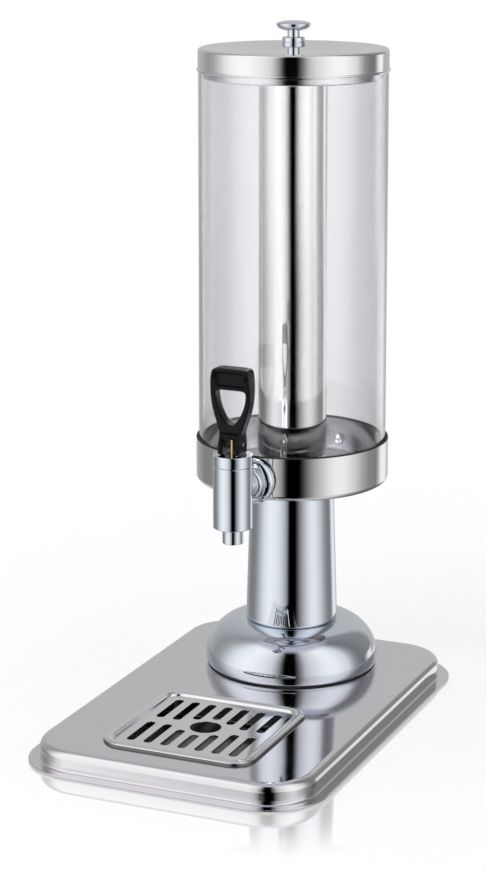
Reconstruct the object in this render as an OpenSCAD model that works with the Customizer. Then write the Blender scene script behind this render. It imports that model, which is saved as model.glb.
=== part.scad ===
// Single juice dispenser: pressed base with drip tray, chrome foot and column,
// steel cup with a clear tube and a central ice tube, lift-off lid, lever tap.
// Origin: centre of the base's footprint on the surface. Front (tap) is -Y.

/* [Base] */
// Width of the base pan across its side walls
base_w = 250; // [220:1:300]
// Length of the base pan from front wall to back wall
base_len = 380; // [350:1:440]
// Height of the base's top face above the surface
base_h = 19.5; // [18:0.5:30]
// Width of the flat flange round the bottom of the pan
flange_w = 10; // [6:1:16]
// Plan radius of the pan's corners
corner_r = 43; // [20:1:48]
// Radius of the pan's rounded top edge
edge_r = 7; // [4:0.5:10]
// Thickness of the pan's sheet
sheet_t = 1.2; // [0.8:0.1:2]
// Height of the flange's underside above the surface
flange_lift = 1; // [0.5:0.5:3]
// Distance of the column's axis behind the base's centre
column_back = 100; // [90:1:110]

/* [Rubber feet] */
// Radius of a foot
foot_pad_r = 10; // [7:0.5:14]
// Distance of a foot's axis in from the pan's walls
foot_inset = 22; // [20:1:40]
// Radius of a foot's screw
pad_screw_r = 2; // [1.5:0.1:3]
// Radius of the screw's head
pad_screw_head_r = 4; // [3.5:0.1:5]
// Height of the screw's head
pad_screw_head_h = 2.6; // [2:0.1:4]
// Height of the screw's head above the foot's underside
pad_screw_recess = 1; // [0.5:0.1:2]
// Height of the weld stud boss that takes the screw
stud_h = 4; // [3:0.5:6]

/* [Drip tray] */
// Width of the tray over its rim
tray_w = 140; // [120:1:170]
// Length of the tray over its rim
tray_len = 142; // [120:1:160]
// Distance of the tray's centre in front of the base's centre
tray_forward = 92; // [85:1:100]
// Width of the rolled rim
rim_w = 10; // [7:0.5:13]
// Height of the rolled rim above the base
rim_h = 3.7; // [2:0.1:5]
// Plan radius of the rim's outer corners
tray_corner_r = 20; // [16:1:28]
// Thickness of the tray's sheet
tray_t = 1; // [0.8:0.1:1.5]
// Gap between the basin and the cut-out in the base
tray_gap = 1; // [0.5:0.1:2]
// Height of the basin's underside above the surface
tray_floor = 3; // [2:0.5:5]

/* [Grille] */
// Thickness of the grille
grille_t = 1.2; // [1:0.1:2]
// Depth of the grille's top face below the top of the rim
grille_drop = 2.8; // [2:0.1:4]
// Gap between the grille and the basin's walls
grille_gap = 0.8; // [0.4:0.1:2]
// Number of slots in a row
slot_count = 7; // [5:1:9]
// Distance from slot to slot
slot_pitch = 15.7; // [14:0.1:18]
// Width of a slot
slot_w = 7.6; // [5:0.1:9]
// Length of an outer slot
slot_len = 46; // [36:1:50]
// Width of the plain band between the two rows of slots
slot_band = 12; // [8:1:16]
// Radius of the hole in the middle of the grille
grille_hole_r = 13.5; // [8:0.5:15]
// Width of the plain ring round the middle hole
grille_ring_w = 6; // [4:0.5:9]

/* [Foot] */
// Largest radius of the domed foot
foot_r = 79.2; // [70:0.1:85]
// Radius of the foot where it meets its gasket
foot_contact_r = 77.4; // [68:0.1:80]
// Radius of the foot's flat top, which carries the column
foot_top_r = 44; // [43:0.5:50]
// Height of the foot's top above the base
foot_h = 42.5; // [36:0.5:50]
// Height of the foot's widest line above its lower edge
foot_bulge_h = 6; // [4:0.5:9]
// Thickness of the foot's wall
foot_wall = 1.5; // [1:0.1:2.5]
// Thickness of the rubber gasket under the foot
foot_gasket_t = 1; // [0.6:0.1:2]
// Width of the gasket
foot_gasket_w = 4; // [3:0.5:8]

/* [Column] */
// Radius of the column at its lower end
column_low_r = 42; // [39:0.1:42]
// Radius of the column at its upper end
column_top_r = 38; // [34:0.1:40]
// Height of the column
column_h = 132; // [110:1:160]
// Thickness of the column's wall
column_wall = 1.5; // [1:0.1:2.5]
// Thickness of the plate that closes the column's upper end
column_plate_t = 3; // [2:0.5:5]
// Radius of the column's rounded lower edge
column_edge_r = 2.5; // [1:0.1:4]
// Width of the flange turned in at the column's lower end
column_lip = 5; // [3:0.5:8]

/* [Tie rod] */
// Radius of the rod that clamps the stand together
rod_r = 5; // [4:0.5:6]
// Gap round the rod where it passes through a hole
rod_gap = 0.3; // [0.2:0.1:0.6]
// Width of the nut across its flats
nut_flats = 17; // [15:0.5:20]
// Height of the nut
nut_h = 8; // [6:0.5:9]
// Radius of the washer
washer_r = 12; // [10:0.5:15]
// Thickness of the washer
washer_t = 1.6; // [1:0.1:2]
// Length of the rod that stands out below the nut
rod_tail = 1.5; // [1:0.5:2]
// Width of the square stiffener plate under the base
stiffener_w = 110; // [80:1:120]
// Thickness of the stiffener plate
stiffener_t = 3; // [2:0.5:3]

/* [Cup] */
// Outside diameter of the steel cup
cup_od = 175; // [173.6:0.1:177]
// Height of the cup
cup_h = 39; // [36:0.5:46]
// Thickness of the cup's wall
cup_wall = 1.2; // [0.8:0.1:1.4]
// Radius of the cup's rounded lower edge
cup_edge_r = 5; // [4:0.5:6]
// Thickness of the rubber lip on the cup's top edge
lip_t = 1.2; // [0.8:0.1:2]
// Depth of the rubber lip's leg between cup and tube
lip_leg = 4; // [3:0.5:8]

/* [Clear tube] */
// Outside diameter of the clear tube
tube_od = 170; // [168:0.1:171]
// Wall thickness of the clear tube
tube_wall = 3; // [2.5:0.1:4]
// Length of the clear tube
tube_len = 369; // [250:0.5:420]
// Height of the tube's lower edge above the cup's floor
tube_seat_h = 2.8; // [2.6:0.1:3]
// Height of the seal's legs beside the tube's lower edge
seal_leg_h = 3.2; // [2:0.1:3.4]
// Thickness of the seal's inner leg
seal_leg_t = 1.3; // [1:0.1:2]

/* [Rear rivet] */
// Angle of the rivet round the vessel, counted from +X
rivet_angle = 80.5; // [60:0.5:100]
// Radius of the rivet's shaft
rivet_r = 2; // [1.5:0.1:3]
// Radius of the rivet's heads
rivet_head_r = 4.5; // [3.5:0.1:6]
// Height of the rivet's heads
rivet_head_h = 2; // [1.5:0.1:3]

/* [Ice tube] */
// Outside diameter of the ice tube
ice_od = 62; // [50:1:80]
// Wall thickness of the ice tube
ice_wall = 1.2; // [0.8:0.1:2]
// Distance of the ice tube's open top below the clear tube's top
ice_top_drop = 4; // [2:0.5:20]
// Thickness of the ice tube's floor
ice_floor_t = 3; // [2:0.5:5]
// Radius of the bead rolled on the ice tube's top edge
ice_bead_r = 1.6; // [1.2:0.1:2.5]
// Thickness of the gasket under the ice tube
ice_gasket_t = 1.5; // [1:0.1:2]
// Radius of the threaded boss on the ice tube's floor
ice_boss_r = 10; // [8:0.5:14]
// Height of the boss
ice_boss_h = 15; // [12:0.5:20]

/* [Lid] */
// Height of the lid from the tube's top edge to the lid's rim
lid_h = 20.5; // [16:0.5:27]
// How far the lid's skirt stands out past the tube
lid_over = 0.5; // [0.3:0.1:1.5]
// How far the bead at the skirt's lower edge stands out past the skirt
lid_bead = 1; // [0.5:0.1:1.5]
// Height of the bead
lid_bead_h = 2.4; // [1.5:0.1:3]
// Radius of the lid's rounded top edge
lid_edge_r = 3; // [2:0.1:4]
// Depth of the dish in the lid's top
lid_dish = 4; // [2:0.1:5]
// Radius of the flat middle of the dish
lid_flat_r = 30; // [20:1:45]
// Radius at which the dish starts
lid_rim_r = 78; // [70:1:80]
// Thickness of the lid's sheet
lid_t = 1; // [0.8:0.1:1.5]
// Depth that the plug ring reaches into the tube
plug_depth = 6.5; // [5:0.5:15]
// Gap between plug ring and tube
plug_gap = 1; // [0.5:0.1:2]
// Width of the edge turned in at the plug ring's lower end
plug_lip = 4; // [3:0.5:8]

/* [Knob] */
// Radius of the knob's mushroom head
knob_r = 15.3; // [12:0.1:18]
// Height of the knob
knob_h = 28; // [24:0.5:36]
// Radius of the knob's round collar
knob_collar_r = 10.4; // [8:0.1:11]
// Height of the collar
knob_collar_h = 9; // [7:0.5:12]
// Radius of the knob's stem and neck
knob_stem_r = 5.5; // [4:0.1:7]
// Height of the stem below the collar
knob_stem_h = 4.5; // [3:0.5:7]
// Radius of the knob's screw
knob_screw_r = 2; // [1.5:0.1:3]
// Radius of the screw's head
knob_screw_head_r = 4; // [3.5:0.1:5]
// Height of the screw's head
knob_screw_head_h = 3; // [2:0.1:4]
// Radius of the washer under the screw's head
knob_washer_r = 7; // [6:0.1:10]
// Thickness of that washer
knob_washer_t = 1; // [0.5:0.1:1.5]

/* [Tap body] */
// Distance of the tap's axis in front of the column's axis
tap_reach = 134; // [126:1:140]
// Height of the tap's shank above the cup's underside
shank_h = 18.6; // [17:0.1:24]
// Radius of the tap's barrel
barrel_r = 17.2; // [15:0.1:19]
// Length of the barrel without its cap
barrel_len = 55; // [50:0.5:65]
// Distance of the barrel's lower end below the shank's axis
barrel_drop = 30.6; // [28:0.1:36]
// Radius of the nozzle
nozzle_r = 9.15; // [8:0.05:11]
// Length of the nozzle
nozzle_len = 14; // [10:0.5:24]
// Radius of the nozzle's bore
nozzle_bore_r = 6; // [4:0.1:6.5]
// Thickness of the barrel's floor, whose top is the valve seat
seat_t = 6; // [4:0.5:8]
// Radius of the chamber inside the barrel
chamber_r = 13.5; // [12.5:0.1:14]
// Radius of the socket that carries the shank
spigot_r = 11; // [10:0.1:12]
// Length of the socket behind the barrel
spigot_len = 12; // [10:0.5:14]
// Radius of the small edge at the barrel's ends
barrel_edge_r = 0.8; // [0.4:0.1:1.5]

/* [Shank] */
// Radius of the shank over its thread
shank_r = 8; // [7:0.1:9]
// Radius of the shank's bore
shank_bore_r = 5.5; // [4:0.1:6]
// Length of the shank inside the socket
shank_engage = 8; // [6:0.5:9]
// Length of the shank that stands out past its nut
shank_tail = 3; // [1:0.5:6]
// Radius of the round ring nut
ring_nut_r = 14.3; // [12:0.1:16]
// Length of the ring nut
ring_nut_len = 8; // [6:0.5:9]
// Radius of the domed rosette
rosette_r = 21.5; // [17:0.1:24]
// Depth of the rosette from the ring nut to its back
rosette_len = 7.3; // [5:0.1:10]
// Thickness of the rosette at its rim
rosette_rim_t = 1.6; // [1:0.1:3]
// Gap between the rosette's back and the front of the cup
rosette_gap = 2; // [1:0.1:4]
// Radius of the gasket outside the cup
outer_gasket_r = 13; // [11:0.1:13.4]
// Radius of the gaskets inside the cup
inner_gasket_r = 11; // [10:0.1:11.2]
// Thickness of the innermost gasket
inner_gasket_t = 2.5; // [2:0.1:4]
// Width of the shank's nut across its flats
shank_nut_flats = 22; // [20:0.5:22]
// Length of the shank's nut
shank_nut_len = 7; // [5:0.5:9]

/* [Bonnet and stem] */
// Height of the bonnet's cap
cap_h = 10.4; // [9:0.1:14]
// Depth of the bonnet's thread inside the barrel
bonnet_thread = 8; // [6:0.5:9]
// Radius of the spring pocket in the bonnet
pocket_r = 8.5; // [7.5:0.1:10]
// Depth of the spring pocket above the barrel's top
pocket_up = 4.2; // [3:0.1:5]
// Radius of the stem
stem_r = 3; // [2.6:0.1:3.2]
// Running gap between stem and bonnet
stem_gap = 0.06; // [0.03:0.01:0.1]
// Length of the stem above the hinge pin
stem_over = 4.8; // [4:0.1:5]
// Radius of the stem's rubber ring
oring_r = 5.5; // [5:0.1:6.5]
// Height of the stem's rubber ring
oring_h = 2.5; // [2:0.1:3]
// Radius of the seat cup
seat_cup_r = 9.5; // [8:0.1:11]
// Height of the seat cup
seat_cup_h = 14; // [12:0.5:16]
// Radius of the stem's head inside the seat cup
stem_head_r = 5; // [4:0.1:6]
// Height of the stem's head
stem_head_h = 4; // [3:0.1:5]
// Thickness of the seat cup below the stem's head
seat_cup_floor = 4; // [3:0.1:5]
// Radius of the collar that carries the spring
spring_collar_r = 7.6; // [7.4:0.1:8]
// Thickness of that collar
spring_collar_t = 2; // [1.5:0.1:3]
// Mean radius of the spring
spring_r = 6.2; // [5.5:0.1:6.5]
// Radius of the spring's wire
wire_r = 0.8; // [0.5:0.1:1]
// Number of turns of the spring
spring_turns = 7; // [5:1:9]

/* [Handle] */
// Largest width of the handle
handle_w = 37.8; // [34:0.1:44]
// Height of the handle above the bonnet
handle_h = 76; // [66:1:90]
// Width of the handle's lower block
block_w = 20; // [19:0.5:24]
// Depth of the lower block behind the pin
block_back = 9; // [7:0.5:10]
// Height of the lower block
block_h = 17; // [16:0.5:20]
// Depth of the loop
loop_t = 12; // [9:0.5:14]
// Width of the fork's gap
fork_gap = 12; // [8:0.5:13]
// Height of the fork's gap above the block's lower face
fork_h = 15.8; // [15:0.1:16]
// Height of the hinge pin above the bonnet
pin_h = 9; // [8.9:0.1:9.5]
// Radius of the hinge pin
pin_r = 1.5; // [1.2:0.1:1.7]
// Running gap between pin and stem
pin_gap = 0.06; // [0.03:0.01:0.1]
// Gap between the handle's cam and the bonnet
cam_gap = 0.1; // [0.05:0.05:0.2]
// Lift of the stem at full tilt
stem_lift = 3; // [2:0.1:3.2]
// Tilt of the handle at which the tap is fully open, in degrees
tilt_max = 30; // [25:1:32]

/* [Hidden] */
$fn = 96;

// Overrun of every cut past the face that it opens
cut = 1;
// Steps of an arc in an outline
arc_steps = 10;
// Facets of the vessel's walls where they shape a gasket
fine_fn = 720;

// Inset of the feet, which also keeps them off the walls in the round corners
foot_in = max(foot_inset, corner_r - (corner_r - sheet_t - foot_pad_r) / sqrt(2) + sheet_t);

// Heights
base_top = base_h;
dome_low = base_top + foot_gasket_t;
dome_mid = dome_low + foot_bulge_h;
foot_top = base_top + foot_h;
column_top = foot_top + column_h;
cup_floor = column_top + cup_wall;
cup_top = column_top + cup_h;
tube_low = cup_floor + tube_seat_h;
tube_top = tube_low + tube_len;
ice_low = cup_floor + ice_gasket_t;
ice_top = tube_top - ice_top_drop;
lid_top = tube_top + lid_h;
dish_top = lid_top - lid_dish;
dish_under = dish_top - lid_t;

// Radii of the vessel
cup_r = cup_od / 2;
cup_in_r = cup_r - cup_wall;
tube_r = tube_od / 2;
tube_in_r = tube_r - tube_wall;
ice_r = ice_od / 2;
rod_hole_r = rod_r + rod_gap;
skirt_r = tube_r + lid_over;
plug_r = tube_in_r - plug_gap;
wedge = cup_in_r - (cup_r - cup_edge_r);

// Stack on the tie rod, downwards from the base's top face
stiffener_low = base_top - sheet_t - stiffener_t;
rod_washer_low = stiffener_low - washer_t;
rod_nut_low = rod_washer_low - nut_h;
rod_low = rod_nut_low - rod_tail;
rod_top = ice_low + ice_floor_t + ice_boss_h * 3 / 4;

// Socket, ring nut and rosette fill the space between the barrel and the cup
tap_y = column_back - tap_reach;
stack_space = tap_reach - barrel_r - cup_r - rosette_gap;
stack_fit = stack_space / (spigot_len + ring_nut_len + rosette_len);
spigot_end = tap_y + barrel_r + stack_fit * spigot_len;
ring_nut_end = spigot_end + stack_fit * ring_nut_len;

// Places of the tap
shank_z = column_top + shank_h;
barrel_low = shank_z - barrel_drop;
barrel_top = barrel_low + barrel_len;
nozzle_low = barrel_low - nozzle_len;
seat_z = barrel_low + seat_t;
bonnet_top = barrel_top + cap_h;
pocket_top = barrel_top + pocket_up;
cup_front = column_back - cup_r;
rosette_end = cup_front - rosette_gap;
inner_gasket_end = column_back - tube_in_r + inner_gasket_t;
shank_nut_end = inner_gasket_end + shank_nut_len;
stem_head_low = seat_z + seat_cup_floor;
stem_head_top = stem_head_low + stem_head_h;
collar_low = seat_z + seat_cup_h + spring_collar_t / 2;
collar_top = collar_low + spring_collar_t;
pin_z = bonnet_top + pin_h;
handle_low = bonnet_top + cam_gap;
handle_top = handle_low + handle_h;

// Drip tray and grille
tray_y = -tray_forward;
well_w = tray_w - 2 * rim_w;
well_len = tray_len - 2 * rim_w;
well_r = tray_corner_r - rim_w;
basin_w = well_w + 2 * tray_t;
basin_len = well_len + 2 * tray_t;
basin_r = well_r + tray_t;
rim_top = base_top + rim_h;
grille_top = rim_top - grille_drop;
grille_low = grille_top - grille_t;
ledge_w = 2 * rim_w / 5;

// Handle outline: height as a share of handle_h, half width as a share of handle_w / 2
handle_side_shares = [[0.25, 0.53], [0.31, 0.615], [0.43, 0.8], [0.56, 0.94], [0.68, 1],
    [0.83, 0.985], [0.96, 0.94]];
// Finger loop: the same shares
loop_side_shares = [[0.345, 0.02], [0.362, 0.17], [0.4, 0.33], [0.46, 0.49], [0.56, 0.66],
    [0.66, 0.74], [0.75, 0.755]];
// Front and back of the grip bar past the loop's faces, as shares of loop_t
grip_front_share = 0.2;
grip_back_share = 0.1;

function arc(cx, cz, r, a0, a1, n = arc_steps) =
    [for (i = [0:n]) let (a = a0 + (a1 - a0) * i / n) [cx + r * cos(a), cz + r * sin(a)]];

function ellipse_arc(cx, cz, rx, rz, a0, a1, n = arc_steps) =
    [for (i = [0:n]) let (a = a0 + (a1 - a0) * i / n) [cx + rx * cos(a), cz + rz * sin(a)]];

// Smooth curve through a list of points, four steps from point to point
function catmull(p0, p1, p2, p3, t) =
    (2 * p1 + (p2 - p0) * t + (2 * p0 - 5 * p1 + 4 * p2 - p3) * t * t
        + (3 * p1 - p0 - 3 * p2 + p3) * t * t * t) / 2;

function smooth_line(pts, n = 4) = concat(
    [for (i = [0:len(pts) - 2]) for (j = [0:n - 1])
        catmull(pts[max(i - 1, 0)], pts[i], pts[i + 1], pts[min(i + 2, len(pts) - 1)], j / n)],
    [pts[len(pts) - 1]]);

function reversed(pts) = [for (i = [len(pts) - 1:-1:0]) pts[i]];

// Plate with round corners, centred on the Z axis, from z = 0 up
module rounded_slab(w, l, r, h) {
    linear_extrude(height = h) {
        square([w - 2 * r, l], center = true);
        square([w, l - 2 * r], center = true);
        for (x = [-1, 1]) for (y = [-1, 1]) translate([x * (w / 2 - r), y * (l / 2 - r)]) circle(r);
    }
}

// Sweeps a flat profile round a rounded rectangle; the profile's x points outwards
module frame_sweep(w, l, r) {
    for (i = [0:3]) {
        side = (i % 2 == 0 ? w : l) / 2;
        run = (i % 2 == 0 ? l : w) / 2 - r;
        rotate([0, 0, 90 * i]) {
            translate([side, run, 0]) rotate([90, 0, 0]) linear_extrude(height = 2 * run) children();
            translate([side - r, run, 0]) rotate_extrude(angle = 90) translate([r, 0]) children();
        }
    }
}

// Block with round corners and a round top edge, from z = 0 up
module edged_block(w, l, r, h, f) {
    rounded_slab(w, l, r, h - f);
    rounded_slab(w - 2 * f, l - 2 * f, r - f, h);
    translate([0, 0, h - f]) frame_sweep(w - 2 * f, l - 2 * f, r - f) {
        intersection() {
            circle(f);
            square([f, f]);
        }
    }
}

// Cylinder along +Y from y0 to y1 on the shank's axis
module along_shank(r, y0, y1) {
    translate([0, y0, shank_z]) rotate([-90, 0, 0]) cylinder(r = r, h = y1 - y0);
}

// Turned shape about the column's axis
module turned(pts) {
    translate([0, column_back, 0]) rotate_extrude() polygon(pts);
}

module at_feet() {
    for (x = [-1, 1]) for (y = [-1, 1])
        translate([x * (base_w / 2 - foot_in), y * (base_len / 2 - foot_in), 0]) children();
}

module tray_opening() {
    translate([0, tray_y, -cut])
        rounded_slab(basin_w + 2 * tray_gap, basin_len + 2 * tray_gap, basin_r + tray_gap,
            base_h + 2 * cut);
}

module base_pan() {
    color("silver") difference() {
        union() {
            translate([0, 0, flange_lift])
                rounded_slab(base_w + 2 * flange_w, base_len + 2 * flange_w,
                    corner_r + flange_w, sheet_t);
            translate([0, 0, flange_lift])
                edged_block(base_w, base_len, corner_r, base_h - flange_lift, edge_r);
        }
        difference() {
            translate([0, 0, -cut])
                edged_block(base_w - 2 * sheet_t, base_len - 2 * sheet_t, corner_r - sheet_t,
                    base_h - sheet_t + cut, edge_r - sheet_t);
            at_feet() translate([0, 0, base_h - sheet_t - stud_h])
                cylinder(r = foot_pad_r / 2, h = stud_h + cut);
        }
        tray_opening();
        at_feet() translate([0, 0, base_h - sheet_t - stud_h - cut])
            cylinder(r = pad_screw_r, h = stud_h + cut);
        translate([0, column_back, 0]) cylinder(r = rod_hole_r, h = base_h + cut);
    }
}

module base_feet() {
    color("dimgray") at_feet() difference() {
        cylinder(r = foot_pad_r, h = base_h - sheet_t - stud_h);
        translate([0, 0, -cut])
            cylinder(r = pad_screw_head_r + rod_gap, h = cut + pad_screw_recess + pad_screw_head_h);
        cylinder(r = pad_screw_r + rod_gap, h = base_h);
    }
}

module feet_screws() {
    color("lightgray") at_feet() translate([0, 0, pad_screw_recess]) {
        cylinder(r = pad_screw_head_r, h = pad_screw_head_h);
        cylinder(r = pad_screw_r, h = base_h - sheet_t - pad_screw_recess);
    }
}

module foot_stiffener() {
    color("gray") translate([0, column_back, stiffener_low]) difference() {
        rounded_slab(stiffener_w, stiffener_w, washer_r, stiffener_t);
        translate([0, 0, -cut]) cylinder(r = rod_hole_r, h = stiffener_t + 2 * cut);
    }
}

module foot_gasket() {
    color("black") translate([0, column_back, base_top]) difference() {
        cylinder(r = foot_contact_r, h = foot_gasket_t);
        translate([0, 0, -cut]) cylinder(r = foot_contact_r - foot_gasket_w, h = foot_gasket_t + 2 * cut);
    }
}

// Points of the dome from its lower edge to its flat top, for a wall that is t smaller
function dome_line(t) = concat(
    [for (i = [0:3]) let (s = i / 4)
        [foot_contact_r - t + (foot_r - foot_contact_r) * (1 - (1 - s) * (1 - s)),
            dome_low + foot_bulge_h * s]],
    ellipse_arc(foot_top_r, dome_mid, foot_r - t - foot_top_r, foot_top - t - dome_mid, 0, 90,
        2 * arc_steps));

module foot_dome() {
    color("gainsboro") turned(concat(dome_line(0),
        [[rod_hole_r, foot_top], [rod_hole_r, foot_top - foot_wall]],
        reversed(dome_line(foot_wall))));
}

module column() {
    low_in = column_low_r - column_wall;
    color("gainsboro") turned(concat(
        [[low_in - column_lip, foot_top]],
        arc(column_low_r - column_edge_r, foot_top + column_edge_r, column_edge_r, -90, 0),
        [[column_top_r, column_top], [rod_hole_r, column_top],
            [rod_hole_r, column_top - column_plate_t],
            [column_top_r - column_wall, column_top - column_plate_t],
            [low_in, foot_top + column_edge_r],
            [low_in - column_wall, foot_top + column_wall],
            [low_in - column_lip, foot_top + column_wall]]));
}

module tie_rod() {
    color("silver") translate([0, column_back, rod_low]) cylinder(r = rod_r, h = rod_top - rod_low);
}

module rod_washer() {
    color("silver") translate([0, column_back, rod_washer_low]) difference() {
        cylinder(r = washer_r, h = washer_t);
        translate([0, 0, -cut]) cylinder(r = rod_hole_r, h = washer_t + 2 * cut);
    }
}

// Hexagon nut from z = 0 up, round a bore
module hex_nut(flats, h, bore_r) {
    difference() {
        cylinder(r = flats / 2 / cos(30), h = h, $fn = 6);
        translate([0, 0, -cut]) cylinder(r = bore_r, h = h + 2 * cut);
    }
}

module rod_nut() {
    color("silver") translate([0, column_back, rod_nut_low]) hex_nut(nut_flats, nut_h, rod_r);
}

// Hole for the rivet through the walls of the vessel
module rivet_line(r, d0, d1) {
    translate([0, column_back, shank_z]) rotate([0, 0, rivet_angle]) translate([d0, 0, 0])
        rotate([0, 90, 0]) cylinder(r = r, h = d1 - d0);
}

module cup() {
    color("silver") difference() {
        turned(concat(
            [[rod_hole_r, column_top]],
            arc(cup_r - cup_edge_r, column_top + cup_edge_r, cup_edge_r, -90, 0),
            [[cup_r, cup_top], [cup_in_r, cup_top]],
            arc(cup_r - cup_edge_r, column_top + cup_edge_r, wedge, 0, -90),
            [[rod_hole_r, cup_floor]]));
        along_shank(shank_r, rosette_end, column_back);
        rivet_line(rivet_r, tube_r, cup_r + cut);
    }
}

module cup_lip_seal() {
    color("black") turned([[tube_r, cup_top - lip_leg], [cup_in_r, cup_top - lip_leg],
        [cup_in_r, cup_top], [cup_r, cup_top], [cup_r - lip_t / 3, cup_top + lip_t],
        [tube_r, cup_top + lip_t]]);
}

module tube_seal() {
    leg_top = tube_low + seal_leg_h;
    color("whitesmoke") turned([[tube_in_r - seal_leg_t, cup_floor],
        [cup_r - cup_edge_r, cup_floor], [cup_in_r, cup_floor + wedge], [cup_in_r, leg_top],
        [tube_r, leg_top], [tube_r, tube_low], [tube_in_r, tube_low], [tube_in_r, leg_top],
        [tube_in_r - seal_leg_t, leg_top]]);
}

module clear_tube() {
    color("lightcyan", 0.35) difference() {
        turned([[tube_in_r, tube_low], [tube_r, tube_low], [tube_r, tube_top], [tube_in_r, tube_top]]);
        along_shank(shank_r, cup_front, column_back);
        rivet_line(rivet_r, ice_r, tube_r + cut);
    }
}

module rear_rivet() {
    head_in = sqrt(tube_in_r * tube_in_r - rivet_head_r * rivet_head_r);
    color("silver") {
        rivet_line(rivet_r, head_in - rivet_head_h, cup_r + rivet_head_h);
        rivet_line(rivet_head_r, cup_r, cup_r + rivet_head_h);
        translate([0, column_back, shank_z]) rotate([0, 0, rivet_angle]) translate([head_in, 0, 0])
            rotate([0, -90, 0]) rotate_extrude() polygon(concat([[0, 0]],
                ellipse_arc(0, 0, rivet_head_r, rivet_head_h, 0, 90)));
    }
}

module ice_gasket() {
    color("black") turned([[rod_hole_r, cup_floor], [ice_r - ice_wall, cup_floor],
        [ice_r - ice_wall, ice_low], [rod_hole_r, ice_low]]);
}

module ice_tube() {
    in_r = ice_r - ice_wall;
    boss_top = ice_low + ice_floor_t + ice_boss_h;
    color("silver") turned(concat(
        [[rod_r, ice_low]],
        arc(ice_r - ice_wall, ice_low + ice_wall, ice_wall, -90, 0),
        [[ice_r, ice_top - ice_bead_r]],
        arc(in_r + ice_bead_r, ice_top - ice_bead_r, ice_bead_r, 0, 180),
        [[in_r, ice_low + ice_floor_t], [ice_boss_r, ice_low + ice_floor_t],
            [ice_boss_r, boss_top], [0, boss_top], [0, rod_top], [rod_r, rod_top]]));
}

module lid_shell() {
    bead_r = skirt_r + lid_bead;
    in_r = skirt_r - lid_t;
    color("silver") turned(concat(
        [[plug_r, tube_top]],
        ellipse_arc(skirt_r, tube_top + lid_bead_h / 2, lid_bead, lid_bead_h / 2, -90, 90),
        arc(skirt_r - lid_edge_r, lid_top - lid_edge_r, lid_edge_r, 0, 90),
        [[lid_rim_r, lid_top], [lid_flat_r, dish_top], [knob_screw_r, dish_top],
            [knob_screw_r, dish_under], [lid_flat_r, dish_under], [lid_rim_r, lid_top - lid_t]],
        arc(skirt_r - lid_edge_r, lid_top - lid_edge_r, lid_edge_r - lid_t, 90, 0),
        [[in_r, tube_top + lid_t], [plug_r, tube_top + lid_t]]));
}

module lid_plug() {
    plug_low = tube_top - plug_depth;
    plug_top = lid_top - lid_t;
    color("lightgray") turned([[plug_r - plug_lip, plug_low], [plug_r, plug_low],
        [plug_r, plug_top], [plug_r - lid_t, plug_top], [plug_r - lid_t, plug_low + lid_t],
        [plug_r - plug_lip, plug_low + lid_t]]);
}

module knob() {
    collar_z = dish_top + knob_stem_h;
    neck_z = collar_z + knob_collar_h;
    top = dish_top + knob_h;
    rim_z = top - knob_h / 10;
    bowl_z = (neck_z + rim_z) / 2;
    edge = knob_collar_h / 6;
    color("gainsboro") turned(concat(
        [[knob_screw_r, dish_top], [knob_stem_r, dish_top], [knob_stem_r, collar_z]],
        arc(knob_collar_r - edge, collar_z + edge, edge, -90, 0),
        arc(knob_collar_r - edge, neck_z - edge, edge, 0, 90),
        [[knob_stem_r, neck_z]],
        ellipse_arc(knob_stem_r, rim_z, knob_r - knob_stem_r, rim_z - bowl_z, -90, 0),
        ellipse_arc(0, rim_z, knob_r, top - rim_z, 0, 90),
        [[0, neck_z], [knob_screw_r, neck_z]]));
}

module knob_washer() {
    color("silver") turned([[knob_screw_r, dish_under - knob_washer_t],
        [knob_washer_r, dish_under - knob_washer_t], [knob_washer_r, dish_under],
        [knob_screw_r, dish_under]]);
}

module knob_screw() {
    head_top = dish_under - knob_washer_t;
    neck_z = dish_top + knob_stem_h + knob_collar_h;
    color("silver") turned([[0, head_top - knob_screw_head_h],
        [knob_screw_head_r, head_top - knob_screw_head_h], [knob_screw_head_r, head_top],
        [knob_screw_r, head_top], [knob_screw_r, neck_z], [0, neck_z]]);
}

module drip_tray() {
    bead_r = (rim_w * rim_w / 4 + rim_h * rim_h) / (2 * rim_h);
    color("silver") translate([0, tray_y, 0]) difference() {
        union() {
            translate([0, 0, tray_floor])
                rounded_slab(basin_w, basin_len, basin_r, rim_top - tray_floor - rim_h / 2);
            translate([0, 0, base_top]) frame_sweep(tray_w - rim_w, tray_len - rim_w,
                tray_corner_r - rim_w / 2) intersection() {
                    translate([0, rim_h - bead_r]) circle(bead_r);
                    translate([-rim_w / 2, 0]) square([rim_w, rim_h]);
                }
        }
        translate([0, 0, grille_low])
            rounded_slab(well_w, well_len, well_r, rim_h + rim_w);
        translate([0, 0, tray_floor + tray_t])
            rounded_slab(well_w - 2 * ledge_w, well_len - 2 * ledge_w, well_r - ledge_w / 2, base_h);
    }
}

// Slots of one half of the grille: the ones beside the middle hole stop short of its ring
module slot_row() {
    keep_r = grille_hole_r + grille_ring_w + slot_w / 2;
    far = slot_band / 2 + slot_len - slot_w / 2;
    for (i = [0:slot_count - 1]) {
        x = (i - (slot_count - 1) / 2) * slot_pitch;
        from_ring = abs(x) < keep_r ? sqrt(keep_r * keep_r - x * x) : 0;
        near = max(slot_band / 2 + slot_w / 2, from_ring);
        translate([x, near]) circle(slot_w / 2);
        translate([x, far]) circle(slot_w / 2);
        translate([x - slot_w / 2, near]) square([slot_w, far - near]);
    }
}

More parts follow.
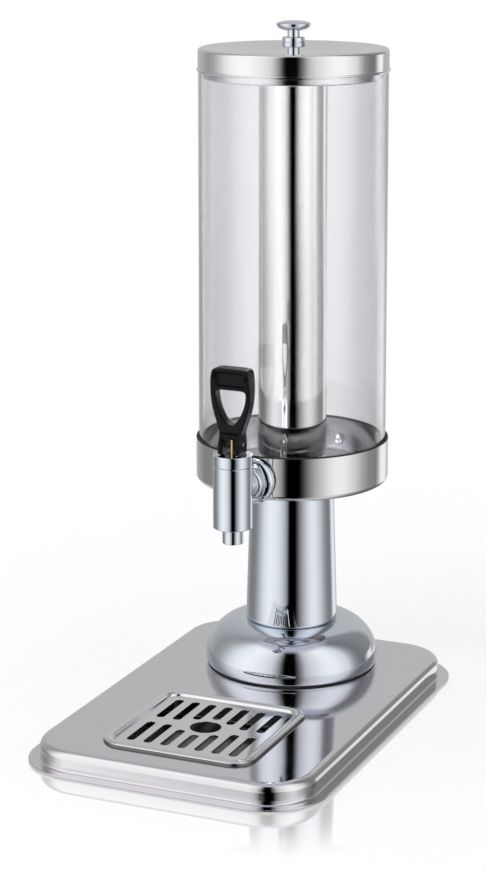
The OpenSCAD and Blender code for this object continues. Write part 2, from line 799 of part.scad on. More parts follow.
module drip_grille() {
    w = well_w - 2 * grille_gap;
    l = well_len - 2 * grille_gap;
    color("silver") translate([0, tray_y, grille_low]) difference() {
        rounded_slab(w, l, well_r - grille_gap, grille_t);
        translate([0, 0, -cut]) linear_extrude(height = grille_t + 2 * cut) {
            circle(grille_hole_r);
            slot_row();
            mirror([0, 1]) slot_row();
        }
    }
}

module tap_body() {
    color("gainsboro") difference() {
        union() {
            translate([0, tap_y, 0]) rotate_extrude() polygon(concat(
                [[0, nozzle_low], [nozzle_r, nozzle_low], [nozzle_r, barrel_low]],
                arc(barrel_r - barrel_edge_r, barrel_low + barrel_edge_r, barrel_edge_r, -90, 0),
                [[barrel_r, barrel_top], [0, barrel_top]]));
            along_shank(spigot_r, tap_y, spigot_end);
        }
        translate([0, tap_y, nozzle_low - cut]) cylinder(r = nozzle_bore_r, h = barrel_len);
        translate([0, tap_y, seat_z]) cylinder(r = chamber_r, h = barrel_len);
        along_shank(shank_bore_r, tap_y, spigot_end + cut);
        along_shank(shank_r, spigot_end - shank_engage, spigot_end + cut);
    }
}

module tap_bonnet() {
    hole_r = stem_r + stem_gap;
    color("gainsboro") translate([0, tap_y, 0]) rotate_extrude() polygon(concat(
        [[pocket_r, barrel_top - bonnet_thread], [chamber_r, barrel_top - bonnet_thread],
            [chamber_r, barrel_top]],
        arc(barrel_r - barrel_edge_r, barrel_top + barrel_edge_r, barrel_edge_r, -90, 0),
        arc(barrel_r - barrel_edge_r, bonnet_top - barrel_edge_r, barrel_edge_r, 0, 90),
        [[hole_r, bonnet_top], [hole_r, pocket_top + oring_h], [oring_r, pocket_top + oring_h],
            [oring_r, pocket_top], [pocket_r, pocket_top]]));
}

module stem_oring() {
    color("black") translate([0, tap_y, pocket_top]) difference() {
        cylinder(r = oring_r, h = oring_h);
        translate([0, 0, -cut]) cylinder(r = stem_r + stem_gap, h = oring_h + 2 * cut);
    }
}

module tap_shank() {
    color("silver") difference() {
        along_shank(shank_r, spigot_end - shank_engage, shank_nut_end + shank_tail);
        along_shank(shank_bore_r, spigot_end - shank_engage - cut, shank_nut_end + shank_tail + cut);
    }
}

module ring_nut() {
    bulge = ring_nut_len / 2;
    half = (ring_nut_end - spigot_end) / 2;
    color("gainsboro") translate([0, spigot_end, shank_z]) rotate([-90, 0, 0]) rotate_extrude()
        polygon(concat([[shank_r, 0]],
            ellipse_arc(ring_nut_r - bulge, half, bulge, half, -90, 90),
            [[shank_r, 2 * half]]));
}

module rosette() {
    depth = rosette_end - ring_nut_end;
    dome = depth - stack_fit * rosette_rim_t;
    color("gainsboro") translate([0, ring_nut_end, shank_z]) rotate([-90, 0, 0]) rotate_extrude()
        polygon(concat([[shank_r, 0]],
            ellipse_arc(ring_nut_r - rosette_rim_t, dome, rosette_r - ring_nut_r + rosette_rim_t, dome,
                -90, 0),
            [[rosette_r, depth], [shank_r, depth]]));
}

module outer_gasket() {
    color("black") difference() {
        along_shank(outer_gasket_r, rosette_end, cup_front + cup_edge_r);
        along_shank(shank_r, rosette_end - cut, column_back);
        translate([0, column_back, column_top - cup_h]) cylinder(r = cup_r, h = 3 * cup_h, $fn = fine_fn);
    }
}

module wall_gasket() {
    color("black") difference() {
        intersection() {
            along_shank(inner_gasket_r, cup_front, column_back);
            translate([0, column_back, column_top]) cylinder(r = cup_in_r, h = cup_h, $fn = fine_fn);
        }
        along_shank(shank_r, cup_front - cut, column_back + cut);
        translate([0, column_back, column_top - cut])
            cylinder(r = tube_r, h = cup_h + 2 * cut, $fn = fine_fn);
    }
}

module inner_gasket() {
    color("black") difference() {
        intersection() {
            along_shank(inner_gasket_r, cup_front, inner_gasket_end);
            translate([0, column_back, column_top]) cylinder(r = tube_in_r, h = cup_h, $fn = fine_fn);
        }
        along_shank(shank_r, cup_front - cut, column_back + cut);
    }
}

module shank_nut() {
    color("silver") translate([0, inner_gasket_end, shank_z]) rotate([-90, 0, 0])
        hex_nut(shank_nut_flats, shank_nut_len, shank_r);
}

module stem() {
    color("goldenrod") difference() {
        translate([0, tap_y, 0]) rotate_extrude() polygon(concat(
            [[0, stem_head_low], [stem_head_r, stem_head_low], [stem_head_r, stem_head_top],
                [stem_r, stem_head_top], [stem_r, collar_low], [spring_collar_r, collar_low],
                [spring_collar_r, collar_top], [stem_r, collar_top]],
            arc(stem_r / 2, pin_z + stem_over - stem_r / 2, stem_r / 2, 0, 90),
            [[0, pin_z + stem_over]]));
        translate([-handle_w / 2, tap_y, pin_z]) rotate([0, 90, 0])
            cylinder(r = pin_r + pin_gap, h = handle_w);
    }
}

module seat_cup() {
    edge = seat_cup_r / 5;
    color("white") translate([0, tap_y, 0]) rotate_extrude() polygon(concat(
        [[0, seat_z]],
        arc(seat_cup_r - edge, seat_z + edge, edge, -90, 0),
        arc(seat_cup_r - edge, seat_z + seat_cup_h - edge, edge, 0, 90),
        [[stem_r, seat_z + seat_cup_h], [stem_r, stem_head_top], [stem_head_r, stem_head_top],
            [stem_head_r, stem_head_low], [0, stem_head_low]]));
}

// Coil spring as one tube: rings of six points along a helix, closed at both ends
coil_sides = 6;
coil_rings_per_turn = 12;
coil_low = collar_top + wire_r;
coil_high = pocket_top - wire_r;
coil_rings = spring_turns * coil_rings_per_turn;
coil_points = [for (i = [0:coil_rings]) for (j = [0:coil_sides - 1])
    let (a = 360 * i / coil_rings_per_turn, b = 360 * j / coil_sides)
    [(spring_r + wire_r * cos(b)) * cos(a), (spring_r + wire_r * cos(b)) * sin(a),
        coil_low + (coil_high - coil_low) * i / coil_rings + wire_r * sin(b)]];
coil_faces = concat(
    [for (i = [0:coil_rings - 1]) for (j = [0:coil_sides - 1])
        let (k = (j + 1) % coil_sides, p = i * coil_sides, q = p + coil_sides)
        each [[p + j, q + j, q + k], [p + j, q + k, p + k]]],
    [[for (j = [0:coil_sides - 1]) j]],
    [[for (j = [coil_sides - 1:-1:0]) coil_rings * coil_sides + j]]);

module tap_spring() {
    color("silver") translate([0, tap_y, 0]) polyhedron(points = coil_points, faces = coil_faces);
}

// Outline of the handle's cam: its distance from the pin grows steadily with the tilt
cam_rate = stem_lift / (tilt_max * PI / 180);
cam_r0 = pin_h - cam_gap;
cam_line = [for (a = [0:3:tilt_max]) let (r = cam_r0 + cam_rate * a * PI / 180)
    [-r * sin(a) - cam_rate * cos(a), -r * cos(a) + cam_rate * sin(a)]];
cam_front = -cam_line[len(cam_line) - 1][0];

// Side outline of the handle about the pin: y backwards, z up
module handle_side() {
    block_top = block_h - cam_r0;
    loop_foot = block_top + cam_front - loop_t / 2;
    grip_low = handle_h * loop_side_shares[len(loop_side_shares) - 1][0] - cam_r0;
    top = handle_h - cam_r0;
    front = loop_t * (1 / 2 + grip_front_share);
    back = loop_t * (1 / 2 + grip_back_share);
    round_r = loop_t / 4;
    polygon(concat(
        [[block_back, -cam_r0]],
        cam_line,
        [[-cam_front, block_top], [-loop_t / 2, loop_foot], [-loop_t / 2, grip_low - round_r],
            [-front, grip_low + round_r]],
        arc(-front + round_r, top - round_r, round_r, 180, 90, 5),
        arc(back - round_r, top - round_r, round_r, 90, 0, 5),
        [[back, grip_low], [loop_t / 2, grip_low - round_r], [loop_t / 2, loop_foot],
            [block_back, block_top]]));
}

function share_points(shares, side) =
    [for (s = shares) [side * s[1] * handle_w / 2, s[0] * handle_h - cam_r0]];

// Front outline of the handle about the pin: x across, z up
module handle_front() {
    right = smooth_line(concat([[block_w / 2, block_h - cam_r0]], share_points(handle_side_shares, 1)));
    left = [for (p = reversed(right)) [-p[0], p[1]]];
    crown = handle_h - cam_r0;
    half_top = handle_w / 2 * 9 / 10;
    polygon(concat([[block_w / 2, -pin_h]], right, [[half_top, crown]], [[-half_top, crown]], left,
        [[-block_w / 2, -pin_h]]));
}

module finger_loop() {
    right = smooth_line(share_points(loop_side_shares, 1));
    left = [for (p = reversed(right)) [-p[0], p[1]]];
    polygon(concat(right, left));
}

module handle() {
    color("#1c1c20") translate([0, tap_y, pin_z]) difference() {
        intersection() {
            translate([0, handle_w, 0]) rotate([90, 0, 0])
                linear_extrude(height = 2 * handle_w) handle_front();
            translate([-handle_w, 0, 0]) rotate([90, 0, 90])
                linear_extrude(height = 2 * handle_w) handle_side();
        }
        translate([0, handle_w, 0]) rotate([90, 0, 0]) linear_extrude(height = 2 * handle_w) finger_loop();
        translate([-fork_gap / 2, -handle_w, -pin_h - cut]) cube([fork_gap, 2 * handle_w, fork_h + cut]);
        translate([-handle_w, 0, 0]) rotate([0, 90, 0]) cylinder(r = pin_r, h = 2 * handle_w);
    }
}

module handle_pin() {
    color("silver") translate([-block_w / 2, tap_y, pin_z]) rotate([0, 90, 0])
        cylinder(r = pin_r, h = block_w);
}

base_pan();
base_feet();
feet_screws();
foot_stiffener();
foot_gasket();
foot_dome();
column();
tie_rod();
rod_washer();
rod_nut();
cup();
cup_lip_seal();
tube_seal();
clear_tube();
rear_rivet();
ice_gasket();
ice_tube();
lid_shell();
lid_plug();
knob();
knob_washer();
knob_screw();
drip_tray();
drip_grille();
tap_body();
tap_bonnet();
stem_oring();
tap_shank();
ring_nut();
rosette();
outer_gasket();
wall_gasket();
inner_gasket();
shank_nut();
stem();
seat_cup();
tap_spring();
handle();
handle_pin();
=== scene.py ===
"""Visual model of a tabletop juice dispenser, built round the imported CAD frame.

Every mesh is drawn in millimetres in the row frame (origin on the surface under the base's centre,
-Y towards the tap, +Z up) and scaled to metres when it becomes an object.
"""
import logging
import math
from collections.abc import Callable, Iterable
from dataclasses import dataclass
from enum import Enum

import bmesh
import bpy
from bmesh.types import BMEdge, BMesh, BMFace, BMVert
from bpy.types import NodeSocket
from mathutils import Matrix, Vector


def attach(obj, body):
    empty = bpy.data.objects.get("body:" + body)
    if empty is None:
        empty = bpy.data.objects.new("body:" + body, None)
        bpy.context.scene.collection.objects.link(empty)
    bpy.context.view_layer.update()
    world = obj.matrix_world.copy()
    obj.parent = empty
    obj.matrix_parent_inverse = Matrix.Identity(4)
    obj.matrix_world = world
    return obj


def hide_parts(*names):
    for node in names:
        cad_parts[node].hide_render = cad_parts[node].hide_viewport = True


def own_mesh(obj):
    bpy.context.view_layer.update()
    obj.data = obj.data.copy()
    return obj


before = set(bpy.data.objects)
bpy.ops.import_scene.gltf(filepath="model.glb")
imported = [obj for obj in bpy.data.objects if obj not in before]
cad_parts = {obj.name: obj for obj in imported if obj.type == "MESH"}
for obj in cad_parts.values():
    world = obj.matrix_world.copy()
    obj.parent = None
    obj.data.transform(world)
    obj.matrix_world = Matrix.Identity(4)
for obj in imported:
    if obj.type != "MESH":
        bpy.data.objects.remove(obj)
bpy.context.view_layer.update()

LOG = logging.getLogger("juice_dispenser")
MM = 0.001
MERGE = 1e-4
STEPS_LARGE = 192
STEPS_SMALL = 96
STEPS_TINY = 48
COLUMN_Y = 100.0
TAP_Y = -34.0
SHANK_Z = 212.6
TRAY_Y = -92.0
BASE_TOP = 19.5
ROD_HOLE = 5.3
BORE_CHAMFER = 0.6
SOFT_ANGLE = 50
WHITE = (1, 1, 1, 1)
BLEND_SPAN = (0.15, 0.45)
EDGE_ON = 0.30
GRAIN_ALONG = 0.04
GRAIN_ROUND = 0.02

Colour = tuple[float, float, float]
Path = tuple[tuple[float, ...], ...]
Input = NodeSocket | float | tuple[float, ...]


class Axis(Enum):
    """Axes that turned pieces are spun about, as the transform of an outline drawn about Z."""

    COLUMN = "column"
    TAP = "tap"
    SHANK = "shank"
    ORIGIN = "origin"

    def matrix(self) -> Matrix:
        """Returns the transform that takes the Z axis to this axis."""
        return {
            Axis.COLUMN: Matrix.Translation((0, COLUMN_Y, 0)),
            Axis.TAP: Matrix.Translation((0, TAP_Y, 0)),
            Axis.SHANK: Matrix.Translation((0, 0, SHANK_Z)) @ Matrix.Rotation(-math.pi / 2, 4, "X"),
            Axis.ORIGIN: Matrix.Identity(4),
        }[self]


class Body(Enum):
    """Bodies of the frame that pieces ride on."""

    STAND = "stand"
    LID = "lid"
    TRAY = "tray"
    GRILLE = "grille"
    VALVE_STEM = "valve_stem"
    HANDLE = "handle"


class Grain(Enum):
    """How a finish's fine texture runs."""

    CLOUDY = "cloudy"
    ROUND_COLUMN = "round the column's axis"
    ROUND_TAP = "round the tap's axis"
    LENGTHWISE = "along Y"


# Mesh helpers


def geometry(bm: BMesh) -> list[BMVert | BMEdge | BMFace]:
    """Returns all vertices, edges and faces of a mesh."""
    return bm.verts[:] + bm.edges[:] + bm.faces[:]


def only(kind: type, items: Iterable[BMVert | BMEdge | BMFace]) -> list:
    """Returns the items of one kind, such as the vertices an operator made."""
    return [item for item in items if isinstance(item, kind)]


def bevel(bm: BMesh, geom: Iterable[BMVert | BMEdge], offset: float, segments: int,
          affect: str = "EDGES") -> None:
    """Rounds edges or corners.

    Args:
        bm: Their mesh.
        geom: The edges or corners.
        offset: Distance from each to the rounding's border.
        segments: Segments of the rounding.
        affect: What is rounded, EDGES or VERTICES.
    """
    bmesh.ops.bevel(bm, geom=list(geom), offset=offset, offset_type="OFFSET", affect=affect,
                    segments=segments, profile=0.5, material=-1)


class Outline:
    """Half outline of a turned piece: a chain of edges in the XZ plane, drawn from tip to tip."""

    def __init__(self, start: tuple[float, float], *points: tuple[float, ...]) -> None:
        """Starts the chain and draws its first lines.

        Args:
            start: Radius and height of its start.
            points: What line() takes for each further point.
        """
        self.bm = bmesh.new()
        self.first: BMVert = self.bm.verts.new((start[0], 0, start[1]))
        self.tip: BMVert = self.first
        self.path(*points)

    def path(self, *points: tuple[float, ...]) -> "Outline":
        """Draws a line to each of some points.

        Args:
            points: What line() takes for each of them.

        Returns:
            The outline itself.
        """
        for point in points:
            self.line(*point)
        return self

    def line(self, r: float, z: float, soft: float = 0.0, steps: int = 5) -> None:
        """Draws a straight line from the tip.

        Args:
            r: Radius of the line's end.
            z: Height of the line's end.
            soft: Radius that the corner at the line's start is rounded with.
            steps: Segments of that rounding.
        """
        corner = self.tip
        self.tip = bmesh.ops.extrude_vert_indiv(self.bm, verts=[corner])["verts"][0]
        self.tip.co = (r, 0, z)
        if soft > 0:
            rays = [(e.other_vert(corner).co - corner.co) for e in corner.link_edges]
            bevel(self.bm, [corner], soft / math.tan(rays[0].angle(rays[1]) / 2), steps, "VERTICES")

    def arc(self, r: float, z: float, degrees: float, steps: int = 8, stretch: float = 1.0) -> "Outline":
        """Swings the tip about a centre.

        Args:
            r: Radius at which the centre lies.
            z: Height of the centre.
            degrees: Angle of the swing, positive from +X to +Z.
            steps: Segments of the arc.
            stretch: Height of the arc's ellipse over its width.

        Returns:
            The outline itself.
        """
        centre = Vector((r, 0, z))
        squash = Matrix.Translation(-centre)
        old = set(self.bm.verts)
        start = self.tip
        bmesh.ops.scale(self.bm, verts=[start], vec=(1, 1, 1 / stretch), space=squash)
        made = bmesh.ops.spin(self.bm, geom=[start], cent=centre, axis=(0, -1, 0),
                              angle=math.radians(degrees), steps=steps)
        self.tip = only(BMVert, made["geom_last"])[0]
        fresh = [v for v in self.bm.verts if v not in old] + [start]
        bmesh.ops.scale(self.bm, verts=fresh, vec=(1, 1, stretch), space=squash)
        return self

    def close(self) -> "Outline":
        """Joins the tip to the chain's start and returns the outline."""
        self.bm.edges.new((self.tip, self.first))
        return self

    def turn(self, axis: Axis, steps: int = STEPS_LARGE) -> BMesh:
        """Spins the chain a full turn about an axis.

        Args:
            axis: The axis to spin about.
            steps: Segments of the turn.

        Returns:
            The turned mesh, in place.
        """
        bm = self.bm
        bmesh.ops.spin(bm, geom=bm.verts[:] + bm.edges[:], cent=(0, 0, 0), axis=(0, 0, 1),
                       angle=2 * math.pi, steps=steps, use_merge=True)
        tidy(bm)
        bmesh.ops.transform(bm, matrix=axis.matrix(), verts=bm.verts)
        return bm


def tidy(bm: BMesh) -> None:
    """Merges doubles and turns every face outwards.

    Args:
        bm: The mesh.
    """
    bmesh.ops.remove_doubles(bm, verts=bm.verts, dist=MERGE)
    bmesh.ops.dissolve_degenerate(bm, edges=bm.edges, dist=MERGE)
    bmesh.ops.recalc_face_normals(bm, faces=bm.faces)


def merged(parts: Iterable[BMesh]) -> BMesh:
    """Joins several meshes into one.

    Args:
        parts: Meshes to join; they are freed.

    Returns:
        One mesh that holds them all.
    """
    whole = bmesh.new()
    for part in parts:
        mesh = bpy.data.meshes.new("part")
        part.to_mesh(mesh)
        part.free()
        whole.from_mesh(mesh)
        bpy.data.meshes.remove(mesh)
    return whole


def rounded_plate(bm: BMesh, width: float, length: float, radius: float, z: float,
                  y: float = 0.0, steps: int = 10) -> BMFace:
    """Adds one flat face with round corners.

    Args:
        bm: Mesh to add it to.
        width: Size along X.
        length: Size along Y.
        radius: Corner radius.
        z: Height.
        y: Place of its centre along Y.
        steps: Segments of a corner.

    Returns:
        The new face, facing up.
    """
    place = Matrix.Translation((0, y, z)) @ Matrix.Diagonal((width, length, 1, 1))
    old = set(bm.faces)
    grid = bmesh.ops.create_grid(bm, x_segments=1, y_segments=1, size=0.5, matrix=place)
    bevel(bm, grid["verts"], radius, steps, "VERTICES")
    return next(f for f in bm.faces if f not in old)


def border_of(bm: BMesh, face: BMFace) -> list[BMEdge]:
    """Takes a face out of its border.

    Args:
        bm: Mesh of the face.
        face: The face.

    Returns:
        The border's edges.
    """
    border = list(face.edges)
    bmesh.ops.delete(bm, geom=[face], context="FACES_ONLY")
    return border


def step_in(bm: BMesh, face: BMFace, inwards: float, up: float) -> BMFace:
    """Insets a face and lifts what is left of it.

    Args:
        bm: Mesh of the face.
        face: Face to inset.
        inwards: Distance from the old border to the new one.
        up: Lift of the new border.

    Returns:
        The face inside the new border.
    """
    if abs(inwards) > 0:
        bmesh.ops.inset_region(bm, faces=[face], thickness=inwards, depth=up, use_boundary=True,
                               use_even_offset=True)
        return face
    top = bmesh.ops.extrude_discrete_faces(bm, faces=[face])["faces"][0]
    bmesh.ops.translate(bm, verts=top.verts, vec=(0, 0, up))
    return top


def hex_bar(across: float, z0: float, z1: float, bore: float, axis: Axis) -> BMesh:
    """Makes a hexagon nut with chamfered corners.

    Args:
        across: Width across the flats.
        z0: Lower end along the axis.
        z1: Upper end along the axis.
        bore: Radius of its hole.
        axis: Axis it sits on.

    Returns:
        The nut's mesh.
    """
    half, mouth = across / 2, bore + BORE_CHAMFER
    corner = half / math.cos(math.pi / 6)
    drop = (corner - half) * math.tan(math.pi / 6)
    out = Outline((bore, z0 + BORE_CHAMFER), (mouth, z0), (half, z0), (corner, z0 + drop),
                  (corner, z1 - drop), (half, z1), (mouth, z1), (bore, z1 - BORE_CHAMFER))
    bm = out.close().turn(Axis.ORIGIN, STEPS_SMALL)
    for side in range(6):
        flat = Matrix.Rotation(math.radians(60 * side), 3, "Z") @ Vector((1, 0, 0))
        cut = bmesh.ops.bisect_plane(bm, geom=geometry(bm), plane_co=flat * half, plane_no=flat,
                                     clear_outer=True)
        bmesh.ops.holes_fill(bm, edges=only(BMEdge, cut["geom_cut"]), sides=0)
    tidy(bm)
    bmesh.ops.transform(bm, matrix=axis.matrix(), verts=bm.verts)
    return bm


# Node helpers


class Graph:
    """Shader nodes of a material or of the world, joined as they are added."""

    def __init__(self, owner: bpy.types.Material | bpy.types.World) -> None:
        """Switches the owner's nodes on."""
        owner.use_nodes = True
        self.tree = owner.node_tree

    def feed(self, node: bpy.types.Node, inputs: dict[int | str, Input]) -> None:
        """Feeds a node.

        Args:
            node: The node.
            inputs: A socket to link or a constant to set for each input, by its name or number.
        """
        for name, value in inputs.items():
            if isinstance(value, NodeSocket):
                self.tree.links.new(value, node.inputs[name])
            else:
                node.inputs[name].default_value = value

    def add(self, kind: str, inputs: dict[int | str, Input] | None = None) -> bpy.types.NodeOutputs:
        """Adds a node.

        Args:
            kind: Type of the node, without the word ShaderNode.
            inputs: What feeds its inputs.

        Returns:
            Its outputs.
        """
        node = self.tree.nodes.new("ShaderNode" + kind)
        self.feed(node, inputs or {})
        return node.outputs

    def calculate(self, kind: str, operation: str, *values: Input) -> bpy.types.NodeOutputs:
        """Adds a calculation.

        Args:
            kind: Math or VectorMath.
            operation: What it works out.
            values: What feeds its inputs, in order.

        Returns:
            Its outputs.
        """
        node = self.tree.nodes.new("ShaderNode" + kind)
        node.operation = operation
        self.feed(node, dict(enumerate(values)))
        return node.outputs

    def number(self, operation: str, *values: Input) -> NodeSocket:
        """Adds a calculation with numbers and returns its result."""
        return self.calculate("Math", operation, *values)[0]

    def vector(self, operation: str, *values: Input) -> NodeSocket:
        """Adds a calculation with vectors and returns its result."""
        return self.calculate("VectorMath", operation, *values)["Vector"]

    def length(self, vector: NodeSocket) -> NodeSocket:
        """Adds the length of a vector and returns it."""
        return self.calculate("VectorMath", "LENGTH", vector)["Value"]

    def noise(self, place: NodeSocket, size: float, detail: float) -> NodeSocket:
        """Adds a noise of a size in millimetres and returns its value."""
        return self.add("TexNoise", {"Vector": place, "Scale": 1 / (size * MM), "Detail": detail})["Fac"]

    def mix(self, factor: NodeSocket, first: Input, second: Input) -> NodeSocket:
        """Adds a mix of two colours.

        Args:
            factor: Share of the second colour.
            first: First colour.
            second: Second colour.

        Returns:
            The mixed colour.
        """
        node = self.tree.nodes.new("ShaderNodeMix")
        node.data_type = "RGBA"
        self.feed(node, {"Factor": factor, "A": first, "B": second})
        return node.outputs["Result"]

    def span(self, value: NodeSocket, start: float, end: float, low: float = 0.0, high: float = 1.0,
             kind: str = "LINEAR") -> NodeSocket:
        """Adds a change from one value to another.

        Args:
            value: What drives it.
            start: Driving value where it starts.
            end: Driving value where it ends.
            low: Result at the start.
            high: Result at the end.
            kind: How it runs, LINEAR or SMOOTHSTEP.

        Returns:
            The result.
        """
        node = self.tree.nodes.new("ShaderNodeMapRange")
        node.interpolation_type = kind
        self.feed(node, {"Value": value, "From Min": start, "From Max": end, "To Min": low, "To Max": high})
        return node.outputs["Result"]


# Finishes, some of them with painted light or shade


@dataclass(frozen=True)
class Finish:
    """A surface finish, made as one node material.

    Attributes:
        name: Name of the material and of the record's slot.
        colour: Base colour.
        tint: Colour that cloudy patches lean towards.
        metal: Share of the surface that acts as bare metal.
        rough: Lowest and highest roughness.
        grain: How the fine texture runs.
        grain_mm: Spacing of the fine texture.
        relief: Height of the fine texture in millimetres.
        cloud_mm: Size of the patches.
        clear: Share of light that passes through.
        ior: Index of refraction.
        shine: Strength of the surface reflection of a non-metal.
        painted_edge_shade: Painted shade: darker colour that a clear wall turns to where it is seen edge on.
    """

    name: str
    colour: Colour
    tint: Colour
    metal: float
    rough: tuple[float, float]
    grain: Grain = Grain.CLOUDY
    grain_mm: float = 1.0
    relief: float = 0.01
    cloud_mm: float = 30.0
    clear: float = 0.0
    ior: float = 1.5
    shine: float = 0.5
    painted_edge_shade: Colour | None = None

    def material(self, suffix: str = "", grain: Grain | None = None) -> bpy.types.Material:
        """Builds the material.

        Args:
            suffix: Added to the material's name.
            grain: Run of the fine texture where it differs from the finish's own.

        Returns:
            The new material.
        """
        mat = bpy.data.materials.new(self.name + suffix)
        graph = Graph(mat)
        shader = mat.node_tree.nodes["Principled BSDF"]
        shader.inputs["Metallic"].default_value = self.metal
        shader.inputs["IOR"].default_value = self.ior
        shader.inputs["Transmission Weight"].default_value = self.clear
        shader.inputs["Specular IOR Level"].default_value = self.shine
        place = graph.add("TexCoord")["Object"]
        fine = graph.noise(self._run(graph, place, grain or self.grain), self.grain_mm, 3.0)
        blend = graph.number("MULTIPLY", fine, graph.noise(place, self.cloud_mm, 2.0))
        colour = graph.mix(blend, (*self.colour, 1), (*self.tint, 1))
        # Painted shade: the colour darkens towards where the surface is seen edge on.
        if self.painted_edge_shade:
            slope = graph.span(graph.add("LayerWeight")["Facing"], 0.0, EDGE_ON)
            colour = graph.mix(slope, colour, (*self.painted_edge_shade, 1))
        bump = graph.add("Bump", {"Strength": 1.0, "Distance": self.relief * MM, "Height": fine})
        graph.feed(shader, {"Base Color": colour, "Normal": bump["Normal"],
                            "Roughness": graph.span(blend, *BLEND_SPAN, *self.rough)})
        return mat

    @staticmethod
    def _run(graph: Graph, place: NodeSocket, grain: Grain) -> NodeSocket:
        """Stretches coordinates along the grain.

        Args:
            graph: Nodes of the material.
            place: The coordinates.
            grain: Run of the fine texture.

        Returns:
            The stretched coordinates.
        """
        if grain is Grain.CLOUDY:
            return place
        if grain is Grain.LENGTHWISE:
            return graph.add("Mapping", {"Vector": place, "Scale": (1, GRAIN_ALONG, 1)})["Vector"]
        centre = COLUMN_Y if grain is Grain.ROUND_COLUMN else TAP_Y
        moved = graph.add("Mapping", {"Vector": place, "Location": (0, -centre * MM, 0)})["Vector"]
        split = graph.add("SeparateXYZ", {"Vector": moved})
        radius = graph.length(graph.add("CombineXYZ", {"X": split["X"], "Y": split["Y"]})["Vector"])
        slow = graph.number("MULTIPLY", split["X"], GRAIN_ROUND)
        return graph.add("CombineXYZ", {"X": radius, "Y": slow, "Z": split["Z"]})["Vector"]


SATIN_STEEL = Finish("satin_steel", (0.79, 0.775, 0.80), (0.71, 0.695, 0.72), 1.0, (0.045, 0.085),
                     Grain.LENGTHWISE, 0.35, 0.0004, 40.0)
POLISHED_STEEL = Finish("polished_steel", (0.84, 0.83, 0.835), (0.78, 0.77, 0.775), 1.0, (0.05, 0.09),
                        Grain.ROUND_COLUMN, 0.5, 0.0006, 50.0)
# Rougher steel with painted light: brighter than the polished steel, for the cup's inner floor and rear
# inner wall.
DULL_PAINTED_LIGHT_STEEL = Finish("polished_steel", (0.93, 0.92, 0.935), (0.88, 0.87, 0.885), 1.0, (0.12, 0.20),
                    Grain.ROUND_COLUMN, 0.5, 0.002, 30.0)
# Painted shade: a dark steel that stands for the shadow in the tray's well and under its rim.
PAINTED_SHADE_STEEL = Finish("polished_steel", (0.18, 0.175, 0.18), (0.11, 0.105, 0.11), 1.0, (0.16, 0.28),
                      Grain.LENGTHWISE, 0.5, 0.003, 20.0)
BRIGHT_STEEL = Finish("polished_steel", (0.95, 0.94, 0.935), (0.90, 0.89, 0.885), 1.0, (0.03, 0.06),
                      Grain.ROUND_COLUMN, 0.5, 0.0004, 50.0)
CHROME = Finish("chrome", (0.725, 0.765, 0.825), (0.69, 0.73, 0.79), 1.0, (0.02, 0.05),
                Grain.CLOUDY, 9.0, 0.004, 25.0)
PLAIN_STEEL = Finish("plain_steel", (0.62, 0.62, 0.63), (0.52, 0.52, 0.50), 1.0, (0.22, 0.42),
                     Grain.CLOUDY, 0.8, 0.01, 6.0)
# The clear plastic gets painted shade where its wall is seen edge on.
CLEAR_PLASTIC = Finish("clear_plastic", (0.93, 0.93, 0.945), (0.925, 0.925, 0.94), 0.0, (0.015, 0.03),
                       Grain.CLOUDY, 30.0, 0.002, 80.0, clear=1.0, ior=1.58, painted_edge_shade=(0.75, 0.75, 0.77))
BLACK_PLASTIC = Finish("black_plastic", (0.004, 0.004, 0.006), (0.007, 0.007, 0.010), 0.0, (0.18, 0.30),
                       Grain.CLOUDY, 0.25, 0.004, 12.0, shine=0.14)
BLACK_RUBBER = Finish("black_rubber", (0.018, 0.018, 0.018), (0.035, 0.034, 0.033), 0.0, (0.55, 0.75),
                      Grain.CLOUDY, 0.4, 0.02, 8.0, shine=0.3)
WHITE_SILICONE = Finish("white_silicone", (0.82, 0.82, 0.80), (0.76, 0.76, 0.73), 0.0, (0.35, 0.5),
                        Grain.CLOUDY, 0.5, 0.01, 10.0)
BRASS = Finish("brass", (0.76, 0.58, 0.29), (0.66, 0.48, 0.22), 1.0, (0.14, 0.26),
               Grain.ROUND_TAP, 0.3, 0.003, 5.0)
SPRING_STEEL = Finish("spring_steel", (0.62, 0.62, 0.64), (0.52, 0.52, 0.54), 1.0, (0.2, 0.3),
                      Grain.CLOUDY, 0.3, 0.004, 3.0)


